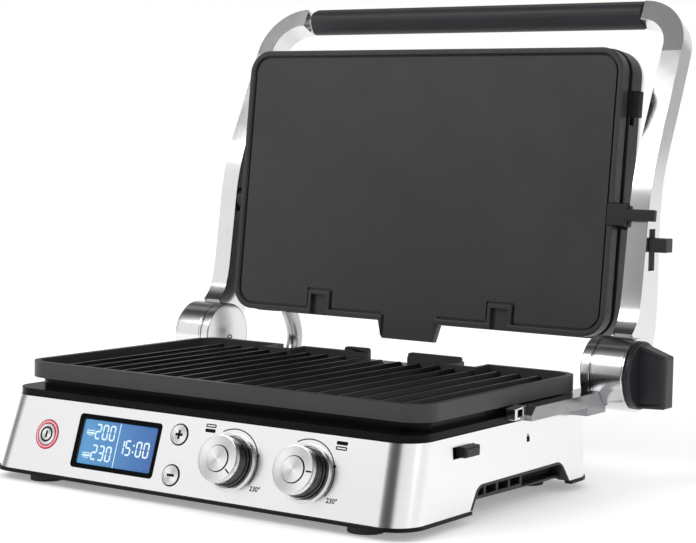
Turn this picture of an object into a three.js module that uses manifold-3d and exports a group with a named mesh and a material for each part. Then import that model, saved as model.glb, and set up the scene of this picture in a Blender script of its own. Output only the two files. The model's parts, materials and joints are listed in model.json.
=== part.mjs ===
// A contact grill standing open: a stainless base with a control panel, a ribbed
// lower plate, two cast arms on side hubs, a floating lid and a smooth upper plate.
// Sizes are in millimetres and degrees, +X is to the right, +Y to the back, +Z up.
// The base stands on z = 0 and the hinge axis runs along X.

import * as THREE from 'three';
import { mergeVertices } from 'three/addons/utils/BufferGeometryUtils.js';
import Module from 'manifold-3d';

const wasm = await Module();
wasm.setup();

// Fits that many pieces share
const fit = { gap: 0.3, slide: 0.5, overrun: 2, weld: 0.0001 };

// Cooking plates
const plate = {
  width: 370, depth: 231, corner: 20, thick: 12.5, floor: 4.6, rim: 5,
  notchWidth: 22, notchDepth: 21, notchLeft: -91.5, notchRight: 89.5, notchWall: 3.5,
  spoutWidth: 62, spoutEnd: 52, spoutReach: 16, spoutThick: 7, spoutShift: 2,
};
const ribs = { count: 18, side: 28.855, width: 5, crest: 2.2, height: 5.2, inset: 13 };
const upperFace = { rimHeight: 2, rim: 4.5, floor: 6 };
const lip = { height: 3.5, thick: 4, leftFrom: -36, leftTo: -12, rightFrom: 27, rightTo: 77 };

// Base housing, which reaches a little beyond the lower plate on each side
const around = { side: 2.5, front: 13.3, back: 11.1 };
const shell = {
  width: plate.width + 2 * around.side, front: -plate.depth / 2 - around.front,
  back: plate.depth / 2 + around.back, corner: 22, bottom: 9, height: 54.1, wall: 1.4,
  frontFlare: 17.8, sideFlare: 4.4,
};
const halfShell = shell.width / 2;
const shellTop = shell.bottom + shell.height;
const panelLength = Math.hypot(shell.height, shell.frontFlare);
const foot = { radius: 13, fromSide: 39.5, fromFront: 19.6, fromBack: 28.6 };
const deck = {
  inset: 0.9, stepHeight: 5.2, stepIn: 6.5, topHeight: 6.5, skirt: 14, wall: 2.4, pocketIn: 13, floor: 2.4,
};
const cover = { thick: 2.5, lip: 3, lipDrop: 2.6, post: 4, postHeight: 8, postShare: 0.4167 };
const notch = {
  front: -61, frontTop: -47, back: 86, backTop: 75, top: 25.5, depth: 20, wall: 2.2, soffit: 14,
  vents: 4, ventWidth: 14, ventGap: 3.4, ventHeight: 7, ventFront: -48,
};

// Hinge and arms, from the inside outwards along the hinge axis
const hinge = { back: 14.4, over: 23.9, pin: 8, radius: 28.6, ringInset: 3.5, ringThick: 8.7 };
hinge.y = shell.back + hinge.back;
hinge.z = shellTop + hinge.over;
hinge.ringIn = halfShell - hinge.ringInset;
hinge.ringOut = hinge.ringIn + hinge.ringThick;
const drum = { width: 27, radius: 28.6 };
drum.inner = hinge.ringOut + fit.gap;
drum.outer = drum.inner + drum.width;
const bracket = {
  inset: 9.5, width: 22, front: 8, over: 1.5, thick: 10, chamfer: 6, drop: 30.6, under: 5.1,
};
bracket.inner = halfShell - bracket.inset;
bracket.outer = bracket.inner + bracket.width;
bracket.dropFront = shell.back - bracket.drop;
bracket.low = shellTop + bracket.over;
bracket.high = bracket.low + bracket.thick;
bracket.dropLow = shellTop - bracket.under;
const catchClip = { length: 9, over: 2.9, height: 9, inset: 1, width: 7.5, wall: 2, gap: 0.3 };
catchClip.low = shellTop + catchClip.over;
catchClip.high = catchClip.low + catchClip.height;
const arm = { setBack: 3, thick: 17, lean: 27 };
arm.inner = drum.inner + arm.setBack;
arm.outer = arm.inner + arm.thick;
const elbow = { back: 86.3, over: 22.3, radius: 34.5, depth: 19 };
elbow.y = hinge.y + elbow.back;
elbow.z = hinge.z + plate.depth + elbow.over;
const grip = { clear: 4, radius: 12.2, bar: 6 };
grip.seat = (arm.inner + arm.outer) / 2 - elbow.radius;
grip.reach = grip.seat - grip.clear;
const heightSlot = { back: 32.5, width: 11, share: 0.342, length: 33, deep: 6 };
heightSlot.y = hinge.y + heightSlot.back;
heightSlot.low = hinge.z + heightSlot.share * plate.depth;
heightSlot.high = heightSlot.low + heightSlot.length;
const slider = { up: 15, height: 11, reach: 15, depth: 12 };
slider.low = heightSlot.low + slider.up;
slider.high = slider.low + slider.height;
const lever = {
  disc: 26.5, discThick: 4.5, reach: 27, width: 17, rootHalf: 25, tipHalf: 20, tipShift: 4,
};
const cap = { thick: 2.5 };

// Lid, measured from the lower front edge of the upper plate when the grill is open
const lid = {
  back: 7.7, up: 25.2, lean: 6, overDepth: 2, overWidth: 3,
  corner: 22, plateDepth: 14.5, frame: 17, shelf: 2, shelfAt: 9, wall: 2.4,
  crown: 15, crownIn: 15, cover: 1.6, roundShare: 0.96,
};
lid.y = hinge.y + lid.back;
lid.z = hinge.z + lid.up;
lid.height = plate.depth + lid.overDepth;
lid.width = plate.width + lid.overWidth;
const pivot = { back: 36, share: 0.413, boss: 10.7, pin: 4, reach: 13 };
pivot.y = hinge.y + pivot.back;
pivot.z = lid.z + pivot.share * plate.depth;
const stop = {
  inset: 5.2, below: 5.9, height: 17.5, thick: 7,
  tongueLift: 4.5, tongueHeight: 9, tongueReach: 8, tongueThick: 5,
};
stop.low = pivot.share * plate.depth - stop.below;
stop.high = stop.low + stop.height;
stop.tongueLow = stop.low + stop.tongueLift;
stop.tongueHigh = stop.tongueLow + stop.tongueHeight;
stop.inner = plate.width / 2 - stop.inset;
stop.tongueOut = arm.outer + stop.tongueReach;
const tab = { down: 33, height: 21, width: 6.6, stand: 7, at: 4.4, travel: 6, deep: 2 };
tab.high = plate.depth - tab.down;
tab.low = tab.high - tab.height;
const conduit = {
  inset: 44.5, radius: 7, under: 19.1, bulgeBack: 48, bulgeOver: 10.9, over: 18.6, topBack: 30.8,
  roomShare: 1.6,
};
conduit.exit = shellTop - conduit.under;
conduit.bulgeZ = shellTop + conduit.bulgeOver;
conduit.top = hinge.z + conduit.over;
conduit.x = conduit.inset - halfShell;
conduit.bulge = hinge.y + conduit.bulgeBack;
conduit.topY = hinge.y + conduit.topBack;

// Control panel, measured along the sloping front from its upper edge
const power = { x: -138.5, down: 0.4829 * panelLength, ring: 11.2, button: 8.2, stand: 0.9, travel: 1 };
const keys = {
  x: -11.8, plusDown: 0.2458 * panelLength, minusDown: 0.7726 * panelLength, radius: 7.2, stand: 0.9,
  travel: 1,
};
const display = {
  x: -69, down: 0.4987 * panelLength, width: 80, height: 0.713 * panelLength, rim: 3.4, corner: 3, deep: 3,
};
const knob = {
  first: 38.5, second: 104, down: 0.5004 * panelLength, radius: 21, face: 18.6, height: 18, lift: 0.6,
  button: 9.3,
  seat: 9.4, shaft: 3, stand: 0.8, travel: 0.8,
};
const board = {
  behind: 12, thick: 1.6, height: 0.7023 * panelLength, beyondPower: 11.5, beyondKnob: 26, encoder: 14,
  key: 3,
};
const release = { y: -66, slotLength: 35, under: 11.5, height: 8.6, knobLength: 26, stand: 6 };
release.z = shellTop - release.under;

// Heaters, trays and mains parts
const heater = { radius: 3.6, fromSide: 35, fromFront: 27.5, runs: 4, lift: 1.2 };
heater.spanX = plate.width / 2 - heater.fromSide;
heater.spanY = plate.depth / 2 - heater.fromFront;
const reflector = { thick: 0.9, margin: 3, postShare: 0.6 };
const tray = { halfWidth: 70, length: 64.6, low: 24, under: 17.1, wall: 2, face: 4, faceOver: 5 };
tray.high = shellTop - tray.under;
tray.front = shell.back - tray.length;
const mains = { x: 120, z: 36, radius: 8.5, stand: 6, deep: 14 };
const powerBoard = { x: -60, y: 0, width: 120, depth: 80, thick: 1.6, part: 18, choke: 7.5 };

// Heights and sizes that follow from the ones above
const deg = Math.PI / 180;
const shellDepth = shell.back - shell.front;
const shellMiddle = (shell.back + shell.front) / 2;
const deckLow = shellTop + fit.gap;
const deckStep = deckLow + deck.stepHeight;
const deckTop = deckStep + deck.topHeight;
const plateLow = deckTop + fit.gap;
const plateTop = plateLow + plate.thick;
const deckFloor = shellTop - deck.skirt + deck.floor;
const round = 6;
const stopOut = arm.inner - fit.slide;
const ribPitch = (plate.width - 2 * ribs.side) / (ribs.count - 1);

// Solids and geometries
function toSolid(geometry) {
  const bare = geometry.clone();
  bare.deleteAttribute('normal');
  bare.deleteAttribute('uv');
  const merged = mergeVertices(bare, fit.weld);
  const vertProperties = new Float32Array(merged.attributes.position.array);
  const triVerts = new Uint32Array(merged.index.array);
  return new wasm.Manifold(new wasm.Mesh({ numProp: 3, vertProperties, triVerts }));
}

function toGeometry(solid) {
  const mesh = solid.getMesh();
  const geometry = new THREE.BufferGeometry();
  geometry.setAttribute('position', new THREE.BufferAttribute(mesh.vertProperties, 3));
  geometry.setIndex(new THREE.BufferAttribute(mesh.triVerts, 1));
  geometry.computeVertexNormals();
  return geometry;
}

function join(...parts) {
  return parts.reduce((whole, next) => whole.add(next));
}

function cut(body, ...tools) {
  return tools.reduce((left, tool) => left.subtract(tool), body);
}

// A rounded rectangle around a centre, as an outline in the XY plane
function roundedOutline(width, depth, corner, x = 0, y = 0) {
  const left = x - width / 2;
  const right = x + width / 2;
  const low = y - depth / 2;
  const high = y + depth / 2;
  const shape = new THREE.Shape();
  shape.moveTo(left + corner, low);
  shape.lineTo(right - corner, low);
  shape.absarc(right - corner, low + corner, corner, -Math.PI / 2, 0);
  shape.lineTo(right, high - corner);
  shape.absarc(right - corner, high - corner, corner, 0, Math.PI / 2);
  shape.lineTo(left + corner, high);
  shape.absarc(left + corner, high - corner, corner, Math.PI / 2, Math.PI);
  shape.lineTo(left, low + corner);
  shape.absarc(left + corner, low + corner, corner, Math.PI, 1.5 * Math.PI);
  return shape;
}

// An outline raised from one height to another
function raised(shape, low, high) {
  const depth = high - low;
  const geometry = new THREE.ExtrudeGeometry(shape, { depth, bevelEnabled: false, curveSegments: round });
  return geometry.translate(0, 0, low);
}

function slab(width, depth, corner, low, high, x = 0, y = 0) {
  return toSolid(raised(roundedOutline(width, depth, corner, x, y), low, high));
}

// A box between two opposite corners
function block(from, to) {
  const size = to.map((value, index) => value - from[index]);
  const geometry = new THREE.BoxGeometry(...size);
  return toSolid(geometry.translate(...from.map((value, index) => value + size[index] / 2)));
}

// A round bar between two points
function bar(radius, from, to, sides = 20) {
  const start = new THREE.Vector3(...from);
  const end = new THREE.Vector3(...to);
  const along = end.clone().sub(start);
  const geometry = new THREE.CylinderGeometry(radius, radius, along.length(), sides);
  const upright = new THREE.Vector3(0, 1, 0);
  const turn = new THREE.Quaternion().setFromUnitVectors(upright, along.clone().normalize());
  geometry.applyQuaternion(turn);
  const middle = start.add(end).multiplyScalar(0.5);
  return toSolid(geometry.translate(middle.x, middle.y, middle.z));
}

// An outline of points in the YZ plane, drawn out along X
function sideProfile(points, fromX, toX) {
  const shape = new THREE.Shape(points.map(([y, z]) => new THREE.Vector2(y, z)));
  const geometry = new THREE.ExtrudeGeometry(shape, { depth: toX - fromX, bevelEnabled: false });
  const axes = new THREE.Matrix4().makeBasis(
    new THREE.Vector3(0, 1, 0), new THREE.Vector3(0, 0, 1), new THREE.Vector3(1, 0, 0));
  geometry.applyMatrix4(axes);
  return toSolid(geometry.translate(fromX, 0, 0));
}

// An outline of points in the XZ plane, drawn out along Y
function frontProfile(points, fromY, toY) {
  const shape = new THREE.Shape(points.map(([x, z]) => new THREE.Vector2(x, -z)));
  const geometry = new THREE.ExtrudeGeometry(shape, { depth: toY - fromY, bevelEnabled: false });
  const axes = new THREE.Matrix4().makeBasis(
    new THREE.Vector3(1, 0, 0), new THREE.Vector3(0, 0, -1), new THREE.Vector3(0, 1, 0));
  geometry.applyMatrix4(axes);
  return toSolid(geometry.translate(0, fromY, 0));
}

// A tube that follows a smooth curve
function tubeAlong(points, radius, sides, steps) {
  const stops = points.map((point) => new THREE.Vector3(...point));
  const path = new THREE.CatmullRomCurve3(stops, false, 'centripetal');
  const section = new THREE.Shape();
  for (let side = 0; side < sides; side += 1) {
    const angle = 2 * Math.PI * side / sides;
    const place = [radius * Math.cos(angle), radius * Math.sin(angle)];
    if (side === 0) section.moveTo(...place);
    else section.lineTo(...place);
  }
  const geometry = new THREE.ExtrudeGeometry(section, { steps, bevelEnabled: false, extrudePath: path });
  return toSolid(geometry);
}

function mirrored(solid) {
  return solid.mirror([1, 0, 0]);
}

// Two places on the object that are measured along their own directions
const panelTilt = Math.atan2(shell.height, shell.frontFlare);
const panelPlace = new THREE.Matrix4().makeRotationX(panelTilt).setPosition(0, shell.front, shellTop);

const lidPlace = new THREE.Matrix4().makeRotationX(-lid.lean * deg).setPosition(0, lid.y, lid.z);

function placedSolid(solid, matrix) {
  return solid.transform(matrix.elements);
}

// The scene graph
const grill = new THREE.Group();
grill.name = 'contact_grill';

const finishes = {
  steel: () => new THREE.MeshStandardMaterial({ color: '#c9cacc', roughness: 0.32, metalness: 1 }),
  chrome: () => new THREE.MeshStandardMaterial({ color: '#dcdddf', roughness: 0.12, metalness: 1 }),
  coated: () => new THREE.MeshStandardMaterial({ color: '#2c2c2e', roughness: 0.55, metalness: 0.2 }),
  black: () => new THREE.MeshStandardMaterial({ color: '#161617', roughness: 0.45, metalness: 0 }),
  rubber: () => new THREE.MeshStandardMaterial({ color: '#101010', roughness: 0.85, metalness: 0 }),
  screen: () => new THREE.MeshStandardMaterial({ color: '#3f7fd0', roughness: 0.4, metalness: 0 }),
  glass: () => new THREE.MeshStandardMaterial({ color: '#e8eef5', roughness: 0.05, metalness: 0 }),
  red: () => new THREE.MeshStandardMaterial({ color: '#c23a4c', roughness: 0.4, metalness: 0 }),
  circuit: () => new THREE.MeshStandardMaterial({ color: '#1f5a36', roughness: 0.6, metalness: 0 }),
  element: () => new THREE.MeshStandardMaterial({ color: '#5a5450', roughness: 0.5, metalness: 0.8 }),
  reflective: () => new THREE.MeshStandardMaterial({ color: '#b9bbbd', roughness: 0.3, metalness: 1 }),
};

function addPiece(name, solid, finish) {
  const mesh = new THREE.Mesh(toGeometry(solid), finishes[finish]());
  mesh.name = name;
  grill.add(mesh);
}

function addOnPanel(name, solid, finish) {
  addPiece(name, placedSolid(solid, panelPlace), finish);
}

function addOnLid(name, solid, finish) {
  addPiece(name, placedSolid(solid, lidPlace), finish);
}

// Places on the panel as circles and rectangles that go through it
function panelDisc(x, down, radius, low, high) {
  return bar(radius, [x, -down, low], [x, -down, high], 24);
}

function panelSlab(width, height, corner, x, down, low, high) {
  return slab(width, height, corner, low, high, x, -down);
}

// Base shell: one stainless sheet wrapped round the base, flared towards its foot
function flared(geometry) {
  const spots = geometry.attributes.position;
  for (let index = 0; index < spots.count; index += 1) {
    const share = (shellTop - spots.getZ(index)) / shell.height;
    const forward = (shell.back - spots.getY(index)) / shellDepth;
    spots.setX(index, spots.getX(index) * (1 + share * 2 * shell.sideFlare / shell.width));
    spots.setY(index, spots.getY(index) - share * forward * shell.frontFlare);
  }
  return geometry;
}

function flaredSlab(inset, low, high) {
  const outline = roundedOutline(
    shell.width - 2 * inset, shellDepth - 2 * inset, shell.corner - inset, 0, shellMiddle);
  return toSolid(flared(raised(outline, low, high)));
}

function notchProfile(grow) {
  return [
    [notch.front - grow, -fit.overrun], [notch.front - grow, shell.bottom],
    [notch.frontTop - grow, notch.top + grow], [notch.backTop + grow, notch.top + grow],
    [notch.back + grow, shell.bottom], [notch.back + grow, -fit.overrun],
  ];
}

// Where the slanted end of a side notch lies at a height
function notchEdge(low, high, z) {
  return low + (high - low) * (z - shell.bottom) / (notch.top - shell.bottom);
}

function sideNotches(grow) {
  const inner = shell.width / 2 - notch.depth - grow;
  const outer = shell.width / 2 + shell.sideFlare + fit.overrun;
  const right = sideProfile(notchProfile(grow), inner, outer);
  return join(right, mirrored(right));
}

function releaseCutter(grow) {
  const halfLength = release.slotLength / 2 + grow;
  const halfHeight = release.height / 2 + grow;
  return block(
    [shell.width / 2 - shell.wall - fit.overrun, release.y - halfLength, release.z - halfHeight],
    [shell.width / 2 + shell.sideFlare + fit.overrun, release.y + halfLength, release.z + halfHeight]);
}

function panelHoles() {
  const low = -shell.wall - fit.overrun;
  const high = fit.overrun;
  const gap = fit.gap;
  const { width, height, corner } = display;
  return placedSolid(join(
    panelDisc(power.x, power.down, power.ring + gap, low, high),
    panelDisc(keys.x, keys.plusDown, keys.radius + gap, low, high),
    panelDisc(keys.x, keys.minusDown, keys.radius + gap, low, high),
    panelDisc(knob.first, knob.down, knob.shaft + gap, low, high),
    panelDisc(knob.second, knob.down, knob.shaft + gap, low, high),
    panelSlab(width + 2 * gap, height + 2 * gap, corner, display.x, display.down, low, high),
  ), panelPlace);
}

function bracketRelief() {
  const right = block(
    [bracket.inner, bracket.dropFront - fit.gap, bracket.dropLow - fit.gap],
    [bracket.outer + fit.overrun, shell.back + fit.overrun, shellTop + fit.overrun]);
  return join(right, mirrored(right));
}

function trayOpening(grow) {
  return block(
    [-tray.halfWidth - grow, tray.front - grow, tray.low - grow],
    [tray.halfWidth + grow, shell.back + fit.overrun, tray.high + grow]);
}

function mainsBore(grow) {
  return bar(mains.radius + grow, [mains.x, shell.back - mains.deep, mains.z],
    [mains.x, shell.back + mains.stand + fit.overrun, mains.z]);
}

function buildBaseShell() {
  const wrap = cut(
    flaredSlab(0, shell.bottom, shellTop),
    flaredSlab(shell.wall, shell.bottom - fit.overrun, shellTop + fit.overrun));
  return cut(
    wrap, sideNotches(0), releaseCutter(0), panelHoles(), bracketRelief(), trayOpening(fit.slide),
    mainsBore(fit.gap));
}

// Top deck: the black moulding that carries the lower plate and holds the heater
function deckSlab(inset, low, high) {
  const width = shell.width - 2 * inset;
  const depth = shellDepth - 2 * inset;
  return slab(width, depth, shell.corner - Math.min(inset, shell.corner / 2), low, high, 0, shellMiddle);
}

function plateSeat(inset, low, high) {
  return slab(plate.width - 2 * inset, plate.depth - 2 * inset, plate.corner - inset / 2, low, high);
}

function buildTopDeck() {
  const body = join(
    plateSeat(deck.pocketIn - deck.wall, shellTop - deck.skirt, deckLow + fit.gap),
    deckSlab(deck.inset, deckLow, deckStep),
    plateSeat(deck.stepIn, deckStep - fit.gap, deckTop));
  const pocket = plateSeat(deck.pocketIn, deckFloor, deckTop + fit.overrun);
  const bracketSeat = block(
    [bracket.inner - fit.gap, bracket.front - catchClip.length - 2 * fit.gap, bracket.low - fit.gap],
    [shell.width, shell.back + fit.overrun, deckTop + fit.overrun]);
  const dropSeat = block(
    [bracket.inner - fit.gap, bracket.dropFront - 2 * fit.gap, bracket.dropLow - 2 * fit.gap],
    [shell.width, shell.back + fit.overrun, deckTop + fit.overrun]);
  const right = join(bracketSeat, dropSeat);
  return cut(body, pocket, right, mirrored(right));
}

// Bottom cover: a flat moulding just inside the foot of the shell, with a trim lip
function coverOutline(inset, low, high) {
  return flaredSlab(shell.wall + fit.gap + inset, low, high);
}

function boardPosts(radius, low, high) {
  const halfWidth = cover.postShare * powerBoard.width;
  const halfDepth = cover.postShare * powerBoard.depth;
  const posts = [-1, 1].flatMap((side) => [-1, 1].map((end) => {
    const x = powerBoard.x + side * halfWidth;
    const y = powerBoard.y + end * halfDepth;
    return bar(radius, [x, y, low], [x, y, high], 10);
  }));
  return join(...posts);
}

const coverLow = shell.bottom;
const coverTop = coverLow + cover.thick;
const boardLow = coverTop + cover.postHeight;

function buildBottomCover() {
  const floor = coverOutline(0, coverLow, coverTop);
  const trim = flaredSlab(-cover.lip / 3, shell.bottom - cover.lipDrop, shell.bottom - fit.gap);
  const trimNeck = coverOutline(0, shell.bottom - cover.lipDrop, coverLow + fit.gap);
  const hollow = coverOutline(cover.lip, -fit.overrun, coverLow);
  const body = join(trim, trimNeck, floor, boardPosts(cover.post, coverTop - fit.gap, boardLow - fit.gap));
  return cut(body, hollow, sideNotches(fit.gap));
}

// Side recess: the black pocket with its vents behind each side notch
function buildSideRecess() {
  const outer = shell.width / 2 - shell.wall - fit.gap;
  const inner = shell.width / 2 - notch.depth;
  const sill = notch.soffit - notch.wall;
  const body = sideProfile([
    [notchEdge(notch.front, notch.frontTop, notch.soffit), notch.soffit],
    [notch.frontTop, notch.top - fit.gap], [notch.backTop, notch.top - fit.gap],
    [notchEdge(notch.back, notch.backTop, sill), sill],
    [notch.backTop - notch.depth, sill],
  ], inner, outer);
  const ventsEnd = notch.ventFront + notch.vents * (notch.ventWidth + notch.ventGap);
  const scoop = sideProfile([
    [ventsEnd, notch.soffit], [ventsEnd, notch.top - notch.wall - fit.gap],
    [notch.backTop - notch.wall, notch.top - notch.wall - fit.gap],
    [notch.back - 3 * notch.wall, notch.soffit],
  ], inner + notch.wall, outer + fit.overrun);
  const slots = Array.from({ length: notch.vents }, (_, index) => {
    const start = notch.ventFront + index * (notch.ventWidth + notch.ventGap);
    return block(
      [inner + notch.wall, start, notch.soffit + notch.wall],
      [outer + fit.overrun, start + notch.ventWidth, notch.soffit + notch.wall + notch.ventHeight]);
  });
  return cut(body, scoop, ...slots);
}

function buildFoot(x, y) {
  return bar(foot.radius, [x, y, 0], [x, y, shell.bottom - fit.gap]);
}

// Hinge bracket: the bar along the base's edge with the ring that holds the hinge pin
function buildHingeBracket() {
  const rail = sideProfile([
    [bracket.front, bracket.low], [shell.back, bracket.low],
    [shell.back, bracket.high], [bracket.front + bracket.chamfer, bracket.high],
    [bracket.front, bracket.high - bracket.chamfer],
  ], bracket.inner, bracket.outer);
  const drumRoom = bar(
    drum.radius + fit.slide, [hinge.ringOut, hinge.y, hinge.z],
    [bracket.outer + fit.overrun, hinge.y, hinge.z], 40);
  const step = block(
    [bracket.inner, bracket.dropFront, bracket.dropLow], [bracket.outer, shell.back, bracket.low + fit.gap]);
  const stepRoom = deckSlab(shell.wall, bracket.dropLow - fit.overrun, bracket.low);
  const web = sideProfile([
    [shell.back - fit.overrun, bracket.dropLow], [hinge.y, hinge.z - hinge.radius],
    [hinge.y, hinge.z], [shell.back - fit.overrun, bracket.high],
  ], hinge.ringIn, hinge.ringOut);
  const ring = bar(hinge.radius, [hinge.ringIn, hinge.y, hinge.z], [hinge.ringOut, hinge.y, hinge.z], 40);
  const pinHole = bar(
    hinge.pin + fit.gap, [hinge.ringIn - fit.overrun, hinge.y, hinge.z],
    [hinge.ringOut + fit.overrun, hinge.y, hinge.z]);
  const plateRoom = block(
    [0, -plate.depth / 2 - fit.overrun, plateLow - fit.gap],
    [plate.width / 2 + fit.slide, plate.depth / 2 + fit.slide, plateTop + fit.overrun]);
  return cut(join(rail, cut(step, stepRoom), web, ring), drumRoom, pinHole, plateRoom);
}

// Catch clip: the small hook at the front end of the right bracket
function buildCatchClip() {
  const back = bracket.front - catchClip.gap;
  const inner = halfShell - catchClip.inset;
  const outer = inner + catchClip.width;
  const front = back - catchClip.length;
  const body = block([inner, front, catchClip.low], [outer, back, catchClip.high]);
  const eye = block(
    [inner - fit.overrun, front + catchClip.wall, catchClip.low + catchClip.wall],
    [outer + fit.overrun, back - catchClip.wall, catchClip.high - catchClip.wall]);
  return cut(body, eye);
}

function buildHingePin() {
  return bar(hinge.pin, [hinge.ringIn, hinge.y, hinge.z], [drum.outer - fit.gap, hinge.y, hinge.z]);
}

// Lower plate: a ribbed casting with drain notches, a spout and lips at the back
function ribSolid(x, low) {
  const front = -plate.depth / 2 + ribs.inset;
  const back = plate.depth / 2 - ribs.inset;
  return frontProfile([
    [x - ribs.width / 2, low - fit.gap], [x + ribs.width / 2, low - fit.gap],
    [x + ribs.crest / 2, low + ribs.height], [x - ribs.crest / 2, low + ribs.height],
  ], front, back);
}

function notchTool(x, width, depth, edge, low, high) {
  return block([x - width / 2, edge - depth, low], [x + width / 2, edge + fit.overrun, high]);
}

function spoutOutline(edge, reach) {
  const rootHalf = plate.spoutWidth / 2;
  const endHalf = plate.spoutEnd / 2;
  const middle = plate.spoutShift;
  return new THREE.Shape([
    new THREE.Vector2(middle - rootHalf, edge), new THREE.Vector2(middle - endHalf, edge + reach),
    new THREE.Vector2(middle + endHalf, edge + reach), new THREE.Vector2(middle + rootHalf, edge),
  ].reverse());
}

function buildLowerPlate() {
  const floorTop = plateLow + plate.floor;
  const edge = plate.depth / 2;
  const blank = plateSeat(0, plateLow, plateTop);
  const pan = plateSeat(plate.rim, floorTop, plateTop + fit.overrun);
  const firstRib = -(ribs.count - 1) * ribPitch / 2;
  const ribSolids = Array.from(
    { length: ribs.count }, (_, index) => ribSolid(firstRib + index * ribPitch, floorTop));
  const spoutGap = block(
    [lip.leftTo, edge - plate.rim - fit.overrun, floorTop],
    [lip.rightFrom, edge + fit.overrun, plateTop + fit.overrun]);
  const spout = toSolid(raised(spoutOutline(edge - fit.gap, plate.spoutReach), plateLow, floorTop));
  const lips = [[lip.leftFrom, lip.leftTo], [lip.rightFrom, lip.rightTo]].map(([from, to]) => block(
    [from, edge - lip.thick, plateTop - fit.gap], [to, edge, plateTop + lip.height]));
  const wallWidth = plate.notchWidth + 2 * plate.notchWall;
  const wallDepth = plate.notchDepth + plate.notchWall;
  const walls = [plate.notchLeft, plate.notchRight].map(
    (x) => notchTool(x, wallWidth, wallDepth, edge, plateLow, plateTop - fit.gap));
  const holes = [plate.notchLeft, plate.notchRight].map((x) => notchTool(
    x, plate.notchWidth, plate.notchDepth, edge, plateLow - fit.overrun, plateTop + fit.overrun));
  const outside = block([-plate.width, edge, 0], [plate.width, edge + plate.width, plateTop + plate.width]);
  const body = cut(join(cut(blank, pan), ...ribSolids, ...walls), spoutGap, ...holes);
  return join(cut(body, outside), spout, ...lips);
}

// Upper plate: a smooth casting with a thin rim, drawn in the lid's own directions
function buildUpperPlate() {
  const outline = (inset, low, high) => {
    const solid = slab(plate.width - 2 * inset, plate.depth - 2 * inset, plate.corner - inset / 2, low, high,
      0, -plate.depth / 2);
    return solid;
  };
  const blank = outline(0, -plate.thick, 0);
  const face = outline(upperFace.rim, -upperFace.rimHeight, fit.overrun);
  const wallWidth = plate.notchWidth + 2 * plate.notchWall;
  const wallDepth = plate.notchDepth + plate.notchWall;
  const wallTools = [plate.notchLeft, plate.notchRight].map(
    (x) => notchTool(x, wallWidth, wallDepth, 0, -plate.thick, -fit.gap));
  const holeTools = [plate.notchLeft, plate.notchRight].map((x) => notchTool(
    x, plate.notchWidth, plate.notchDepth, 0, -plate.thick - fit.overrun, fit.overrun));
  const outside = block([-plate.width, 0, -plate.width], [plate.width, plate.width, plate.width]);
  const lugRoom = block(
    [stop.inner - fit.slide, -stop.high - fit.slide, -plate.thick - fit.overrun],
    [plate.width, -stop.low + fit.slide, fit.overrun]);
  const spout = toSolid(raised(spoutOutline(-fit.gap, plate.spoutReach), -plate.spoutThick, 0));
  const pocket = outline(plate.rim, -plate.thick - fit.overrun, -upperFace.floor);
  const body = cut(join(cut(blank, face, pocket), ...wallTools), ...holeTools, outside, lugRoom);
  return join(body, spout);
}

// The lid's directions have Z along the plate and Y to the back
const lidFromFlat = new THREE.Matrix4().makeBasis(
  new THREE.Vector3(1, 0, 0), new THREE.Vector3(0, 0, -1), new THREE.Vector3(0, -1, 0));
const onLid = lidPlace.clone().multiply(lidFromFlat);

function lidSlab(inset, low, high) {
  return slab(lid.width - 2 * inset, lid.height - 2 * inset, lid.corner - inset / 2, -high, -low,
    0, -lid.height / 2 + (lid.height - plate.depth) / 2);
}

// Lid frame: the black tray behind the upper plate, with a boss at each side
const frameBack = lid.plateDepth + lid.frame;

function pivotInLid(x) {
  const point = new THREE.Vector3(x, pivot.y, pivot.z);
  return point.applyMatrix4(onLid.clone().invert());
}

function pivotBar(radius, fromX, toX, sides) {
  const from = pivotInLid(fromX);
  const to = pivotInLid(toX);
  return bar(radius, [from.x, from.y, from.z], [to.x, to.y, to.z], sides);
}

function tabSlot(grow) {
  const depth = lid.plateDepth + tab.at;
  return block(
    [lid.width / 2 - lid.wall - fit.overrun, -tab.high - grow, -depth - tab.width / 2 - grow],
    [lid.width / 2 + fit.overrun, -tab.low + tab.travel + grow, -depth + tab.width / 2 + grow]);
}

function conduitPoints() {
  return [
    [conduit.x, shell.back + fit.gap, conduit.exit],
    [conduit.x, shell.back + conduit.radius * 2, conduit.exit],
    [
      conduit.x, (shell.back + conduit.bulge) / 2 + conduit.radius,
      (conduit.exit + conduit.bulgeZ) / 2 - conduit.radius,
    ],
    [conduit.x, conduit.bulge, conduit.bulgeZ],
    [conduit.x, conduit.topY + fit.slide, (conduit.bulgeZ + conduit.top) / 2],
    [conduit.x, conduit.topY, conduit.top + conduit.radius],
  ];
}

function conduitRoom() {
  const top = new THREE.Vector3(conduit.x, conduit.topY, conduit.top).applyMatrix4(onLid.clone().invert());
  const half = conduit.radius + fit.slide;
  return block(
    [conduit.x - half, -conduit.radius * 3, top.z - conduit.roomShare * half],
    [conduit.x + half, lid.height, top.z + conduit.roomShare * half]);
}

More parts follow.
